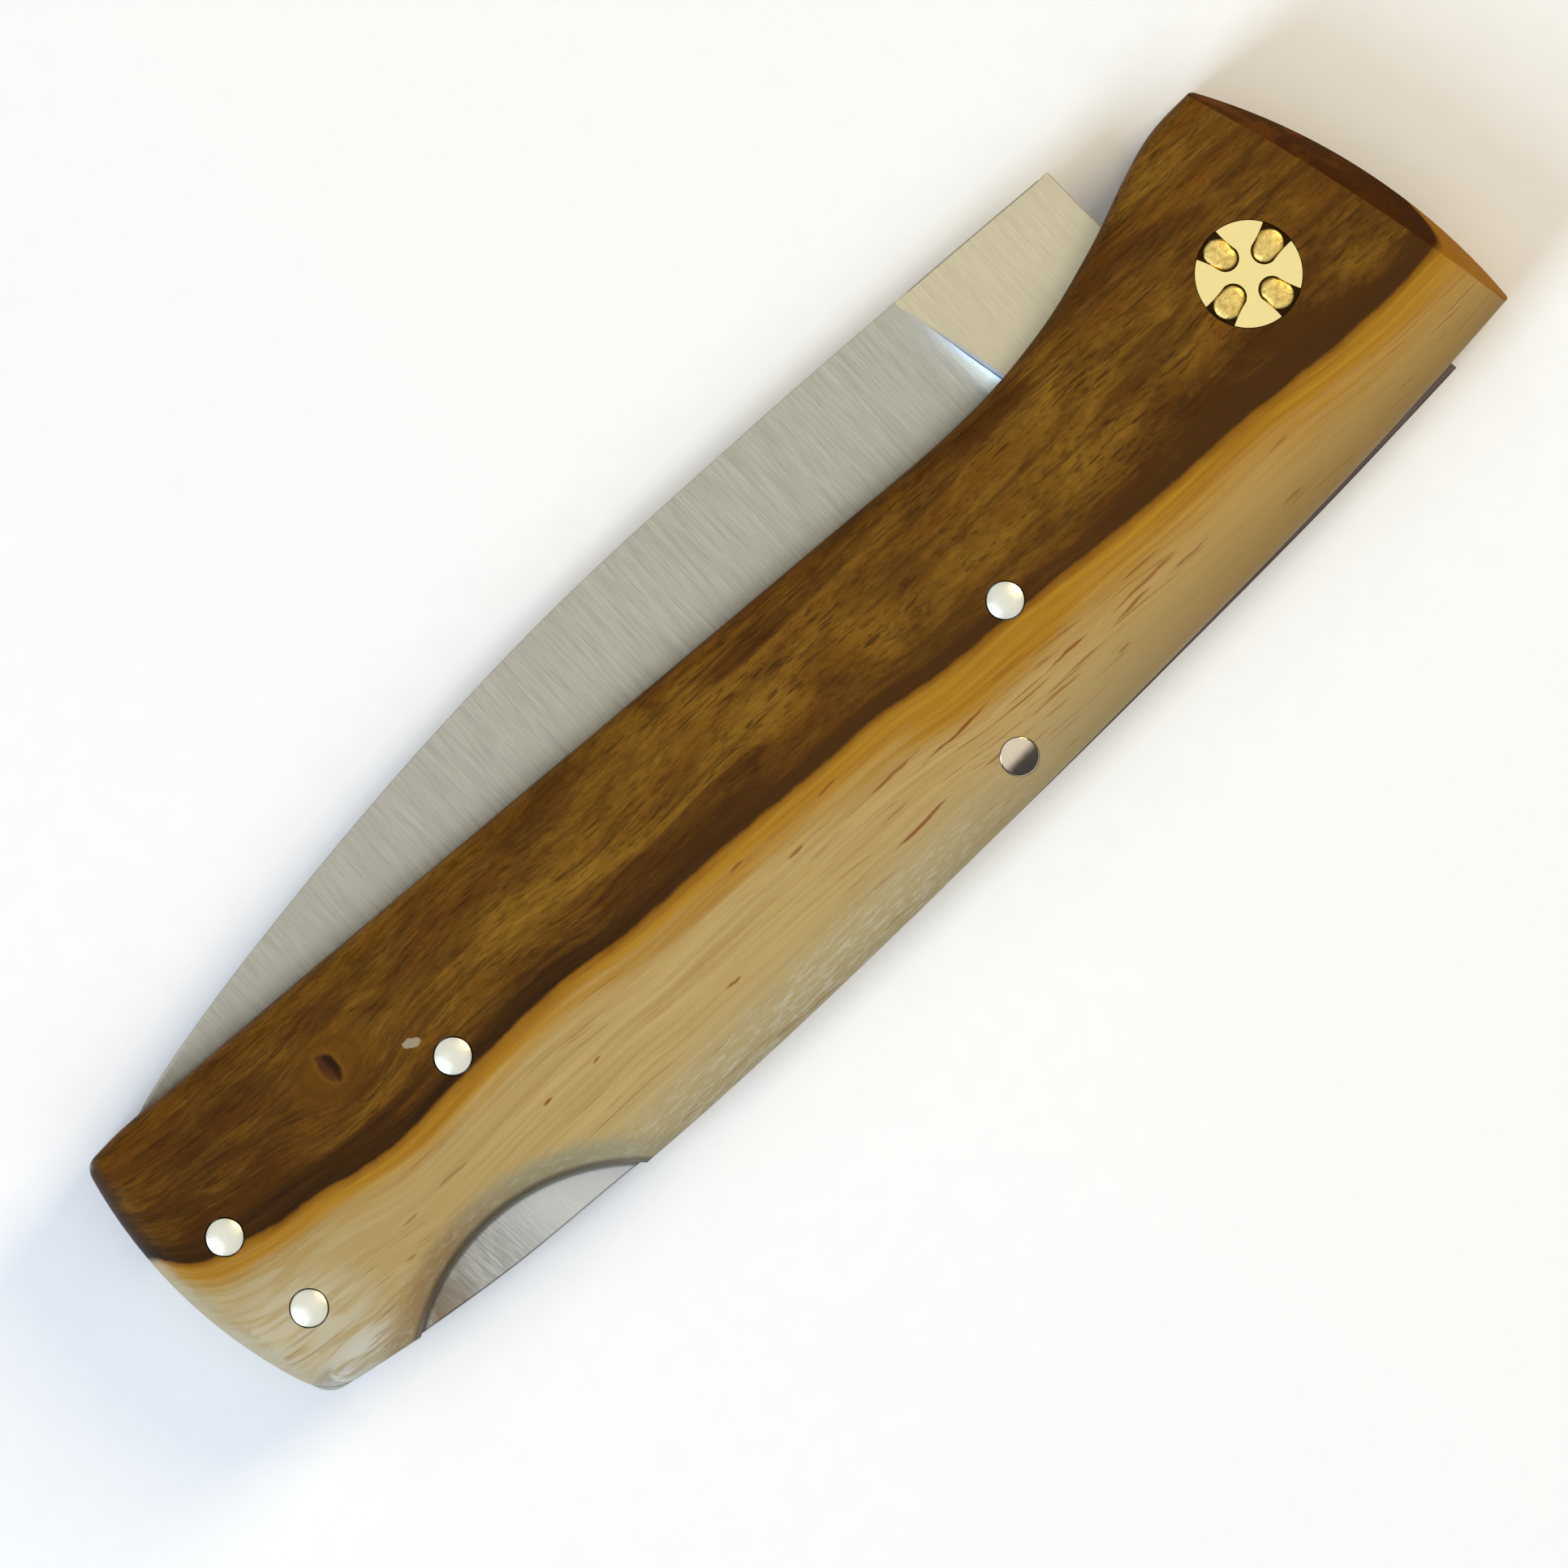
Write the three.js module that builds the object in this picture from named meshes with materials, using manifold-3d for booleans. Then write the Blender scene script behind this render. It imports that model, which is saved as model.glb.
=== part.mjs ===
// Folding pocket knife with a back lock: a clip of two wooden scales over steel liners, a blade that
// folds into the slot between them, and a lock bar that rocks on a pin in the back of the handle.
// Millimetres. The knife lies closed on its back scale: +X runs from the butt to the pivot end, +Y
// towards the blade's spine, +Z up through the thickness. All places below are measured from the
// centre of the pivot, and the whole knife is moved to its resting place at the end.
import * as THREE from 'three';
import { mergeVertices } from 'three/addons/utils/BufferGeometryUtils.js';
import Module from 'manifold-3d';

const wasm = await Module();
wasm.setup();

// Thicknesses, from the middle of the knife outwards
const bladeThickness = 3.0;
const washerThickness = 0.3;
const bladeSideGap = 0.05;
const linerThickness = 1.0;
const scaleThickness = 5.0;
const barSideGap = 0.1;
const springSideGap = 0.35;

// Handle outline: the corners, and the points that each long edge runs through
const buttBack = [-106.35, -12.0];
const buttBelly = [-107.55, 12.85];
const frontBelly = [6.4, 12.7];
const frontBack = [12.6, -14.7];
const backEdgePoints = [
  buttBack, [-94, -14.35], [-82, -15.65], [-68, -16.45], [-50, -16.72], [-28, -16.5], [-8, -16.0],
  [4, -15.35], frontBack,
];
const bellyEdgePoints = [
  buttBelly, [-103.5, 12.95], [-97, 12.45], [-80, 11.2], [-56, 9.35], [-38, 8.0], [-23.4, 7.03],
  [-14.4, 7.7], [-7.2, 9.5], [-1.8, 11.45], [2.2, 12.55], frontBelly,
];
const buttRadius = 37.3;
const frontRadius = 47.6;
const frontCornerRounding = 0.5;
const buttCornerRounding = 1.3;
const linerProud = 0.03;

// Rounding of the wood towards each edge: how wide the curve is, and how far it falls
const backRounding = { width: 5.6, fall: 4.3 };
const bellyRounding = { width: 2.3, fall: 2.0 };
const buttRounding = { width: 1.8, fall: 2.4 };

// Slanted face at the pivot end: widest in its middle, and nearly upright at its two corners
const frontFace = { width: 1.95, cornerWidth: 0.35, fall: 4.4, crown: 1.4 };

// Thumb notch in the back edge, a round cut that flares outwards through the wood
const notchCentre = [-89.7, -27.9];
const notchRadius = 17.0;
const notchFlare = 1.9;
const notchFlarePower = 2;

// Pins through the handle
const pinRadius = 1.45;
const pinGap = 0.05;
const scalePinFront = [-29.7, -4.7];
const scalePinRear = [-82.4, -0.3];
const buttPinUpper = [-103.8, 1.9];
const buttPinLower = [-103.0, -6.2];
const rockerPin = [-37.0, -13.7];
const bushWall = 0.7;

// Pivot: a shaft through everything, with a round head let into the wood at each end
const pivotShaftRadius = 2.5;
const pivotRunningGap = 0.08;
const pivotHeadRadius = 4.0;
const pivotHeadThickness = 2.0;
const washerRadius = 7.0;

// Figure on each pivot head: a cross with flared arms, left standing between four pockets
const pocketDepth = 0.6;
const pocketInnerRadius = 0.95;
const pocketInnerOffset = 2.1;
const pocketMouth = 2.8;
const crossTurn = THREE.MathUtils.degToRad(-34);
const crossArms = 4;

// Blade: spine and cutting edge from the ricasso to the tip, as it lies when closed
const openAngle = THREE.MathUtils.degToRad(176);
const shoulder = [-5.3, 15.8];
const tip = [-105.2, 11.9];
const heel = [-16.6, -2.9];
const spinePoints = [shoulder, [-18, 16.68], [-34, 17.6], [-53, 18.22], [-70, 17.55], [-86.4, 15.85],
  [-98, 13.95], tip];
const edgeClearance = 0.75;
const bushRadius = pinRadius + pinGap + bushWall;
const edgeAtFrontBush = [scalePinFront[0], scalePinFront[1] + bushRadius + edgeClearance];
const edgeAtRearBush = [scalePinRear[0], scalePinRear[1] + bushRadius + edgeClearance];
const edgeBow = 0.2;
const edgeBetween = [1 / 3, 2 / 3].map((share) => [
  THREE.MathUtils.lerp(edgeAtFrontBush[0], edgeAtRearBush[0], share),
  THREE.MathUtils.lerp(edgeAtFrontBush[1], edgeAtRearBush[1], share) - edgeBow,
]);
const cuttingEdgePoints = [
  heel, edgeAtFrontBush, ...edgeBetween, edgeAtRearBush, [-91, 4.9], [-99.5, 8.3], tip,
];
const plungeSpineX = -20.2;
const plungeWidth = 2.4;
const plungeOverlap = 1.2;
const spineTaper = 0.55;
const spineTaperPower = 1.6;
const edgeThickness = 0.08;
const bevelThickness = 0.6;
const bevelWidth = 0.9;
const tipBlunting = 0.01;

// Tang and lock: a lug under the bar's nose drops behind the tang's crest when the blade is open
const crestRadius = 10.05;
const tangRestStart = THREE.MathUtils.degToRad(-100);
const tangSteps = 36;
const lugGap = 0.06;
const lugHeight = 1.5;
const lugLength = 4.7;
const lockDrop = THREE.MathUtils.degToRad(0.8);
const lockGap = 0.12;
const noseGap = 0.15;
const kickX = -8.4;
const kickLength = 2.2;
const kickGap = 0.2;
const kickEase = { x: 1.6, y: 0.4 };
const kickRise = { x: 2.6, y: 3.2 };
const choilDepth = { x: 4.0, y: 0.9 };
const choilEnd = 1.2;
const barNoseY = -15.7;
const spacerWall = 2.05;
const spacerFrontX = buttPinLower[0] + pinRadius + spacerWall;
const barTailGap = 0.6;
const barTail = [spacerFrontX + barTailGap, -13.3];
const barBackPoints = [[-8, -16.3], [-24, -16.58], [-38, -16.68], [-56, -16.62], [-70, -16.25],
  [-80, -15.42], [-90, -14.6], barTail];
const barTailDepth = 3.6;
const barTailTaper = 30;
const rockerBossRadius = 3.4;
const rockerGap = 0.08;

// Spring leaf and the butt spacer that holds it
const leafThickness = 1.0;
const leafSeat = 2.4;
const leafSeatY = -4.0;
const leafSeatGap = 0.1;
const leafContactX = -60;
const leafContactGap = 0.3;
const spacerBladeGap = 1.3;

// How finely curves are divided
const roundSides = 40;
const outlineSpacing = 3;
const roundingSteps = 5;
const columnSpacing = 2.8;

const slotHalf = bladeThickness / 2 + bladeSideGap + washerThickness;
const linerFace = slotHalf + linerThickness;
const woodFace = linerFace + scaleThickness;
const cutMargin = 1;
const beyondHandle = 10;

// Solids and meshes

function solidOf(geometry) {
  const bare = geometry.clone();
  bare.deleteAttribute('normal');
  bare.deleteAttribute('uv');
  const merged = mergeVertices(bare, 1e-5);
  const mesh = new wasm.Mesh({
    numProp: 3,
    vertProperties: new Float32Array(merged.attributes.position.array),
    triVerts: new Uint32Array(merged.index.array),
  });
  return new wasm.Manifold(mesh);
}

function geometryOf(solid) {
  const mesh = solid.getMesh();
  const geometry = new THREE.BufferGeometry();
  geometry.setAttribute('position', new THREE.BufferAttribute(mesh.vertProperties, 3));
  geometry.setIndex(new THREE.BufferAttribute(mesh.triVerts, 1));
  geometry.computeVertexNormals();
  return geometry;
}

function turned([x, y], angle) {
  const c = Math.cos(angle);
  const s = Math.sin(angle);
  return [x * c - y * s, x * s + y * c];
}

function vectors(points) {
  return points.map(([x, y]) => new THREE.Vector2(x, y));
}

function plate(shape, bottom, top) {
  const geometry = new THREE.ExtrudeGeometry(shape, {
    depth: top - bottom,
    bevelEnabled: false,
    curveSegments: roundSides / 4,
  });
  return geometry.translate(0, 0, bottom);
}

function rod(radius, [x, y], bottom, top, sides = roundSides) {
  const geometry = new THREE.CylinderGeometry(radius, radius, top - bottom, sides);
  return geometry.rotateX(Math.PI / 2).translate(x, y, (bottom + top) / 2);
}

function ring(innerRadius, outerRadius, bottom, top) {
  const profile = [
    new THREE.Vector2(innerRadius, bottom),
    new THREE.Vector2(outerRadius, bottom),
    new THREE.Vector2(outerRadius, top),
    new THREE.Vector2(innerRadius, top),
    new THREE.Vector2(innerRadius, bottom),
  ];
  return new THREE.LatheGeometry(profile, roundSides).rotateX(Math.PI / 2);
}

// A body over a grid of stations: each holds a place in plan and the heights of its two faces.
// Rows run along +Y and columns along +X.
function gridBody(columns) {
  const rows = columns[0].length;
  const positions = [];
  for (const column of columns) {
    for (const { x, y, top, bottom } of column) positions.push(x, y, top, x, y, bottom);
  }
  const at = (i, j, side) => 2 * (i * rows + j) + side;
  const index = [];
  const quad = (a, b, c, d) => index.push(a, b, c, a, c, d);
  const last = columns.length - 1;
  const edge = rows - 1;
  for (let i = 0; i < last; i++) {
    for (let j = 0; j < edge; j++) {
      quad(at(i, j, 0), at(i + 1, j, 0), at(i + 1, j + 1, 0), at(i, j + 1, 0));
      quad(at(i, j, 1), at(i, j + 1, 1), at(i + 1, j + 1, 1), at(i + 1, j, 1));
    }
    quad(at(i, 0, 1), at(i + 1, 0, 1), at(i + 1, 0, 0), at(i, 0, 0));
    quad(at(i, edge, 0), at(i + 1, edge, 0), at(i + 1, edge, 1), at(i, edge, 1));
  }
  for (let j = 0; j < edge; j++) {
    quad(at(0, j, 0), at(0, j + 1, 0), at(0, j + 1, 1), at(0, j, 1));
    quad(at(last, j, 1), at(last, j + 1, 1), at(last, j + 1, 0), at(last, j, 0));
  }
  const geometry = new THREE.BufferGeometry();
  geometry.setAttribute('position', new THREE.Float32BufferAttribute(positions, 3));
  geometry.setIndex(index);
  return geometry;
}

function mirrored(geometry) {
  const copy = geometry.clone().scale(1, 1, -1);
  const index = copy.index.array;
  for (let i = 0; i < index.length; i += 3) [index[i + 1], index[i + 2]] = [index[i + 2], index[i + 1]];
  copy.computeVertexNormals();
  return copy;
}

// Handle outline

// The arc from one point to another that bulges to the right of the way there
function arcBetween([x0, y0], [x1, y1], radius) {
  const half = Math.hypot(x1 - x0, y1 - y0) / 2;
  const rise = Math.sqrt(radius * radius - half * half);
  const cx = (x0 + x1) / 2 - (rise * (y1 - y0)) / (2 * half);
  const cy = (y0 + y1) / 2 + (rise * (x1 - x0)) / (2 * half);
  const start = Math.atan2(y0 - cy, x0 - cx);
  const end = Math.atan2(y1 - cy, x1 - cx);
  return new THREE.ArcCurve(cx, cy, radius, start, end, false);
}

const backEdge = new THREE.SplineCurve(vectors(backEdgePoints));
const bellyEdge = new THREE.SplineCurve(vectors(bellyEdgePoints));
const frontEdge = arcBetween(frontBack, frontBelly, frontRadius);
const buttEdge = arcBetween(buttBelly, buttBack, buttRadius);

// A point of an edge, moved to the left of the way along it
function insetPoint(edge, u, inset) {
  const point = edge.getPointAt(u);
  const way = edge.getTangentAt(u);
  return [point.x - way.y * inset, point.y + way.x * inset];
}

// The handle's outline, counter-clockwise, drawn in by an inset and with its corners eased
function handleShape(inset) {
  const front = frontCornerRounding;
  const butt = buttCornerRounding;
  const sides = [
    { edge: backEdge, from: 0, to: 1, inset, before: butt, after: front },
    { edge: frontEdge, from: 0, to: 1, inset, before: front, after: front },
    { edge: bellyEdge, from: 1, to: 0, inset: -inset, before: front, after: butt },
    { edge: buttEdge, from: 0, to: 1, inset, before: butt, after: butt },
  ];
  const pointOn = ({ edge, from, to, inset: move }, u) => {
    return insetPoint(edge, THREE.MathUtils.lerp(from, to, u), move);
  };
  const shape = new THREE.Shape();
  sides.forEach((side, k) => {
    const next = sides[(k + 1) % sides.length];
    const length = side.edge.getLength();
    const steps = Math.round(length / outlineSpacing);
    for (let i = 0; i <= steps; i++) {
      const u = THREE.MathUtils.lerp(side.before, length - side.after, i / steps) / length;
      const [x, y] = pointOn(side, u);
      if (k === 0 && i === 0) shape.moveTo(x, y);
      else shape.lineTo(x, y);
    }
    const [endX, endY] = pointOn(side, 1);
    const [startX, startY] = pointOn(next, 0);
    const [x, y] = pointOn(next, next.before / next.edge.getLength());
    shape.quadraticCurveTo((endX + startX) / 2, (endY + startY) / 2, x, y);
  });
  return shape;
}

// Wooden scales

function edgeFall(distance, { width, fall }) {
  const reach = THREE.MathUtils.clamp(1 - distance / width, 0, 1);
  return fall * (1 - Math.sqrt(1 - reach * reach));
}

function frontWidth(t) {
  return THREE.MathUtils.lerp(frontFace.cornerWidth, frontFace.width, Math.sin(Math.PI * t));
}

function frontFall(distance, t) {
  const reach = THREE.MathUtils.clamp(1 - distance / frontWidth(t), 0, 1);
  return frontFace.fall * reach ** frontFace.crown;
}

// Distances from an edge that divide its rounding into equal turns
function roundingDistances(width) {
  const distances = [];
  for (let k = 0; k <= roundingSteps; k++) {
    distances.push(width * (1 - Math.cos((k / roundingSteps) * (Math.PI / 2))));
  }
  return distances;
}

// Stations from one edge to the other, fine where the wood rounds over and even in between
function stations(length, lowWidth, highWidth, count) {
  const low = roundingDistances(lowWidth);
  const high = roundingDistances(highWidth).map((d) => length - d).reverse();
  const middle = [];
  for (let k = 1; k < count; k++) middle.push(THREE.MathUtils.lerp(low.at(-1), high[0], k / count));
  return [...low, ...middle, ...high];
}

// A point inside four corner points, by its shares of the way along and across
function blend([a, b, c, d], s, t) {
  return (1 - s) * (1 - t) * a + s * (1 - t) * b + s * t * c + (1 - s) * t * d;
}

// The space that wood, liners and pins fill together: both faces flat, every edge shaped
function handleBody() {
  const length = backEdge.getLength();
  const corners = [buttBack, frontBack, frontBelly, buttBelly];
  const cornersX = corners.map(([x]) => x);
  const cornersY = corners.map(([, y]) => y);
  const columnCount = Math.round(length / columnSpacing);
  const widthAt = (s) => backEdge.getPointAt(s).distanceTo(bellyEdge.getPointAt(s));
  const station = (s, across, t, along) => {
    const low = backEdge.getPointAt(s);
    const high = bellyEdge.getPointAt(s);
    const butt = buttEdge.getPointAt(1 - t);
    const front = frontEdge.getPointAt(t);
    const fall = Math.hypot(
      edgeFall(across, backRounding),
      edgeFall(widthAt(s) - across, bellyRounding),
      edgeFall(along, buttRounding),
      frontFall(length - along, t),
    );
    const top = Math.max(woodFace - fall, linerFace - cutMargin / 2);
    return {
      x: (1 - t) * low.x + t * high.x + (1 - s) * butt.x + s * front.x - blend(cornersX, s, t),
      y: (1 - t) * low.y + t * high.y + (1 - s) * butt.y + s * front.y - blend(cornersY, s, t),
      top,
      bottom: -top,
    };
  };
  const even = stations(length, buttRounding.width, frontFace.width, columnCount);
  const columns = even.map((nominal, i) => {
    const width = widthAt(nominal / length);
    return stations(width, backRounding.width, bellyRounding.width, 1).map((across) => {
      const t = across / width;
      const along = stations(length, buttRounding.width, frontWidth(t), columnCount)[i];
      const s = along / length;
      return station(s, t * widthAt(s), t, along);
    });
  });
  return solidOf(gridBody(columns));
}

function notchCutter() {
  const bottom = linerFace - cutMargin;
  const top = woodFace + cutMargin;
  const profile = [new THREE.Vector2(0, bottom), new THREE.Vector2(notchRadius, bottom)];
  for (let k = 0; k <= roundingSteps; k++) {
    const z = THREE.MathUtils.lerp(linerFace, top, k / roundingSteps);
    const climb = (z - linerFace) / scaleThickness;
    profile.push(new THREE.Vector2(notchRadius + notchFlare * climb ** notchFlarePower, z));
  }
  profile.push(new THREE.Vector2(0, top));
  const geometry = new THREE.LatheGeometry(profile, 3 * roundSides);
  return solidOf(geometry.rotateX(Math.PI / 2).translate(...notchCentre, 0));
}

const pins = [scalePinFront, scalePinRear, buttPinUpper, buttPinLower, rockerPin];
const handleSolid = handleBody();

function frontScaleGeometry() {
  const outline = plate(handleShape(linerProud), linerFace, woodFace + cutMargin);
  let wood = handleSolid.intersect(solidOf(outline)).subtract(notchCutter());
  for (const place of pins) {
    wood = wood.subtract(solidOf(rod(pinRadius + pinGap, place, 0, woodFace + cutMargin)));
  }
  wood = wood.subtract(solidOf(rod(pivotShaftRadius + pinGap, [0, 0], 0, woodFace + cutMargin)));
  const seat = woodFace - pivotHeadThickness;
  wood = wood.subtract(solidOf(rod(pivotHeadRadius + pinGap, [0, 0], seat, woodFace + cutMargin)));
  return geometryOf(wood);
}

// Steel liners

function frontLinerGeometry() {
  const shape = handleShape(0);
  for (const place of pins) shape.holes.push(roundHole(pinRadius + pinGap, place));
  shape.holes.push(roundHole(pivotShaftRadius + pinGap, [0, 0]));
  const liner = solidOf(plate(shape, slotHalf, linerFace));
  const notch = rod(notchRadius - linerProud, notchCentre, 0, woodFace, 3 * roundSides);
  return geometryOf(liner.subtract(solidOf(notch)));
}

function roundHole(radius, [x, y]) {
  const hole = new THREE.Path();
  hole.absarc(x, y, radius, 0, 2 * Math.PI, true);
  return hole;
}

// Pins, bushes and pivot

// A pin through the whole handle, its ends dressed to the wood's surface
function pinGeometry(place) {
  const full = woodFace + cutMargin;
  return geometryOf(handleSolid.intersect(solidOf(rod(pinRadius, place, -full, full))));
}

function bushGeometry() {
  const bore = pinRadius + pinGap;
  return ring(bore, bushRadius, -slotHalf, slotHalf);
}

function pivotHeadGeometry() {
  let head = solidOf(rod(pivotHeadRadius, [0, 0], -pivotHeadThickness, 0, 2 * roundSides));
  const pocket = new THREE.Shape();
  const mouthX = pivotHeadRadius + cutMargin / 2;
  pocket.absarc(pocketInnerOffset, 0, pocketInnerRadius, 0.6 * Math.PI, 1.4 * Math.PI, false);
  pocket.lineTo(mouthX, -pocketMouth / 2);
  pocket.lineTo(mouthX, pocketMouth / 2);
  for (let k = 0; k < crossArms; k++) {
    const angle = crossTurn + ((k + 0.5) * 2 * Math.PI) / crossArms;
    head = head.subtract(solidOf(plate(pocket, -pocketDepth, cutMargin).rotateZ(angle)));
  }
  return geometryOf(head);
}

// Blade

const spine = new THREE.SplineCurve(vectors(spinePoints));
const cuttingEdge = new THREE.SplineCurve(vectors(cuttingEdgePoints));

// The point of a curve that runs towards -X, at a given X
function pointAtX(curve, x) {
  let low = 0;
  let high = 1;
  for (let k = 0; k < 40; k++) {
    const middle = (low + high) / 2;
    if (curve.getPoint(middle).x > x) low = middle;
    else high = middle;
  }
  return curve.getPoint(low);
}

const noseX = turned(shoulder, -openAngle)[0];
const rockerToNose = noseX - rockerPin[0];
const lugFloor = -(crestRadius + lugGap);
const lugRearX = noseX - noseGap - lugLength;
const barUnderside = lugFloor - lugHeight;

// Where the lock bar's front face stands at a given height, just behind the opened blade's shoulder
function noseFaceX(y) {
  const [topX, topY] = turned(shoulder, -openAngle);
  return topX + (y - topY) * Math.tan(-(Math.PI - openAngle)) - noseGap;
}

// The tang's edge from the shoulder, round the pivot and out to the heel, with the blade closed
function tangPoints() {
  const drop = rockerToNose * Math.sin(lockDrop);
  const floorY = lugFloor + drop + lockGap;
  const rearX = lugRearX - lockGap;
  const points = [];
  const floorFront = turned([noseFaceX(floorY) + noseGap, floorY], openAngle);
  points.push([shoulder[0], floorFront[1]]);
  points.push(turned([rearX, floorY], openAngle));
  const crestY = -Math.sqrt(crestRadius ** 2 - rearX ** 2);
  const crestAngle = Math.atan2(crestY, rearX) + openAngle;
  const restEnd = Math.atan2(lugFloor, noseX);
  const baseRadius = crestRadius - drop;
  for (let k = 0; k <= tangSteps; k++) {
    const angle = THREE.MathUtils.lerp(crestAngle, tangRestStart, k / tangSteps);
    const climb = Math.max(0, (angle - restEnd) / (crestAngle - restEnd));
    const radius = THREE.MathUtils.lerp(baseRadius, crestRadius, climb);
    points.push([radius * Math.cos(angle), radius * Math.sin(angle)]);
  }
  return points;
}

// Tang and ricasso, flat on both sides and as thick as the stock, as far as the plunge
function tangGeometry() {
  const shape = new THREE.Shape();
  shape.moveTo(...shoulder);
  for (const point of tangPoints()) shape.lineTo(...point);
  const kickY = barUnderside + (kickX - rockerPin[0]) * Math.sin(lockDrop) + kickGap;
  shape.lineTo(kickX + kickLength, kickY);
  shape.lineTo(kickX, kickY);
  shape.quadraticCurveTo(kickX - kickEase.x, kickY + kickEase.y, kickX - kickRise.x, kickY + kickRise.y);
  shape.quadraticCurveTo(kickX - choilDepth.x, heel[1] - choilDepth.y, heel[0] + choilEnd, heel[1]);
  shape.lineTo(...heel);
  const steps = 6;
  for (let k = steps; k > 0; k--) {
    const point = pointAtX(spine, THREE.MathUtils.lerp(shoulder[0], plungeSpineX, k / steps));
    shape.lineTo(point.x, point.y);
  }
  return plate(shape, -bladeThickness / 2, bladeThickness / 2);
}

// Half the blade's thickness at a share of the way from the cutting edge to the spine
function groundHalf(share, bevelShare, run, length) {
  const spineHalf = (bladeThickness / 2) * (1 - spineTaper * Math.max(0, run / length) ** spineTaperPower);
  const bevelHalf = Math.min(bevelThickness / 2, spineHalf);
  if (share < bevelShare) return edgeThickness / 2;
  return THREE.MathUtils.lerp(bevelHalf, spineHalf, (share - bevelShare) / (1 - bevelShare));
}

// The ground part: a hollow run-out at the plunge, then flat sides from the spine to the bevel
function groundGeometry() {
  const length = plungeSpineX - tip[0];
  const edgeLength = heel[0] - tip[0];
  const count = Math.round(length / columnSpacing);
  const runs = [-plungeOverlap, ...roundingDistances(plungeWidth)];
  for (let k = 1; k <= count; k++) {
    runs.push(THREE.MathUtils.lerp(plungeWidth, length * (1 - tipBlunting), k / count));
  }
  const columns = runs.reverse().map((run) => {
    const edgeX = heel[0] - (run * edgeLength) / length;
    const high = pointAtX(spine, plungeSpineX - run);
    const low = run < 0 ? new THREE.Vector2(edgeX, heel[1]) : pointAtX(cuttingEdge, edgeX);
    const width = high.distanceTo(low);
    const reach = THREE.MathUtils.clamp(1 - run / plungeWidth, 0, 1);
    const ground = Math.sqrt(1 - reach * reach);
    const bevelShare = Math.min(bevelWidth / width, 0.3);
    return [0, bevelShare, 1 / 3, 2 / 3, 1].map((share) => {
      const half = groundHalf(share, bevelShare, run, length);
      const top = THREE.MathUtils.lerp(bladeThickness / 2, half, ground);
      const { x, y } = low.clone().lerp(high, share);
      return { x, y, top, bottom: -top };
    });
  });
  return gridBody(columns);
}

function bladeGeometry() {
  const bore = solidOf(rod(pivotShaftRadius + pivotRunningGap, [0, 0], -bladeThickness, bladeThickness));
  return geometryOf(solidOf(tangGeometry()).add(solidOf(groundGeometry())).subtract(bore));
}

// Lock bar

function lockBarGeometry() {
  const shape = new THREE.Shape();
  const nose = [noseFaceX(barNoseY), barNoseY];
  shape.moveTo(...nose);
  shape.lineTo(noseFaceX(lugFloor), lugFloor);
  shape.lineTo(lugRearX, lugFloor);
  shape.lineTo(lugRearX, barUnderside);
  const rise = barUnderside - rockerPin[1];
  const reach = Math.asin(rise / rockerBossRadius);
  shape.absarc(...rockerPin, rockerBossRadius, reach, Math.PI - reach, false);
  const tailTop = barTail[1] + barTailDepth;
  shape.quadraticCurveTo(barTail[0] + barTailTaper, barUnderside, barTail[0], tailTop);
  shape.lineTo(...barTail);
  const back = new THREE.SplineCurve(vectors([nose, ...barBackPoints]));
  const steps = Math.round(back.getLength() / outlineSpacing);
  for (let k = steps - 1; k > 0; k--) {
    const point = back.getPoint(k / steps);
    shape.lineTo(point.x, point.y);
  }
  shape.holes.push(roundHole(pinRadius + rockerGap, rockerPin));
  return plate(shape, barSideGap - slotHalf, slotHalf - barSideGap);
}

// Butt spacer and spring

function buttSpacerGeometry() {
  const clear = new THREE.Shape();
  const beyondButt = buttBack[0] - beyondHandle;
  const beyondBack = buttBack[1] - beyondHandle;
  const seatHalf = leafThickness / 2 + leafSeatGap;
  clear.moveTo(spacerFrontX, beyondBack);
  clear.lineTo(spacerFrontX, leafSeatY - seatHalf);
  clear.lineTo(spacerFrontX - leafSeat, leafSeatY - seatHalf);
  clear.lineTo(spacerFrontX - leafSeat, leafSeatY + seatHalf);
  clear.lineTo(spacerFrontX, leafSeatY + seatHalf);
  const steps = 6;
  for (let k = 0; k <= steps; k++) {
    const point = pointAtX(cuttingEdge, THREE.MathUtils.lerp(spacerFrontX, tip[0], k / steps));
    clear.lineTo(point.x - spacerBladeGap / 2, point.y - spacerBladeGap);
  }
  clear.lineTo(beyondButt, tip[1] - spacerBladeGap);
  clear.lineTo(beyondButt, beyondBack);
  const inner = plate(clear, -slotHalf, slotHalf);
  let spacer = solidOf(plate(handleShape(linerProud), -slotHalf - cutMargin, slotHalf + cutMargin));
  spacer = spacer.intersect(solidOf(inner));
  for (const place of [buttPinUpper, buttPinLower]) {
    spacer = spacer.subtract(solidOf(rod(pinRadius + pinGap, place, -linerFace, linerFace)));
  }
  return geometryOf(spacer);
}

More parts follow.
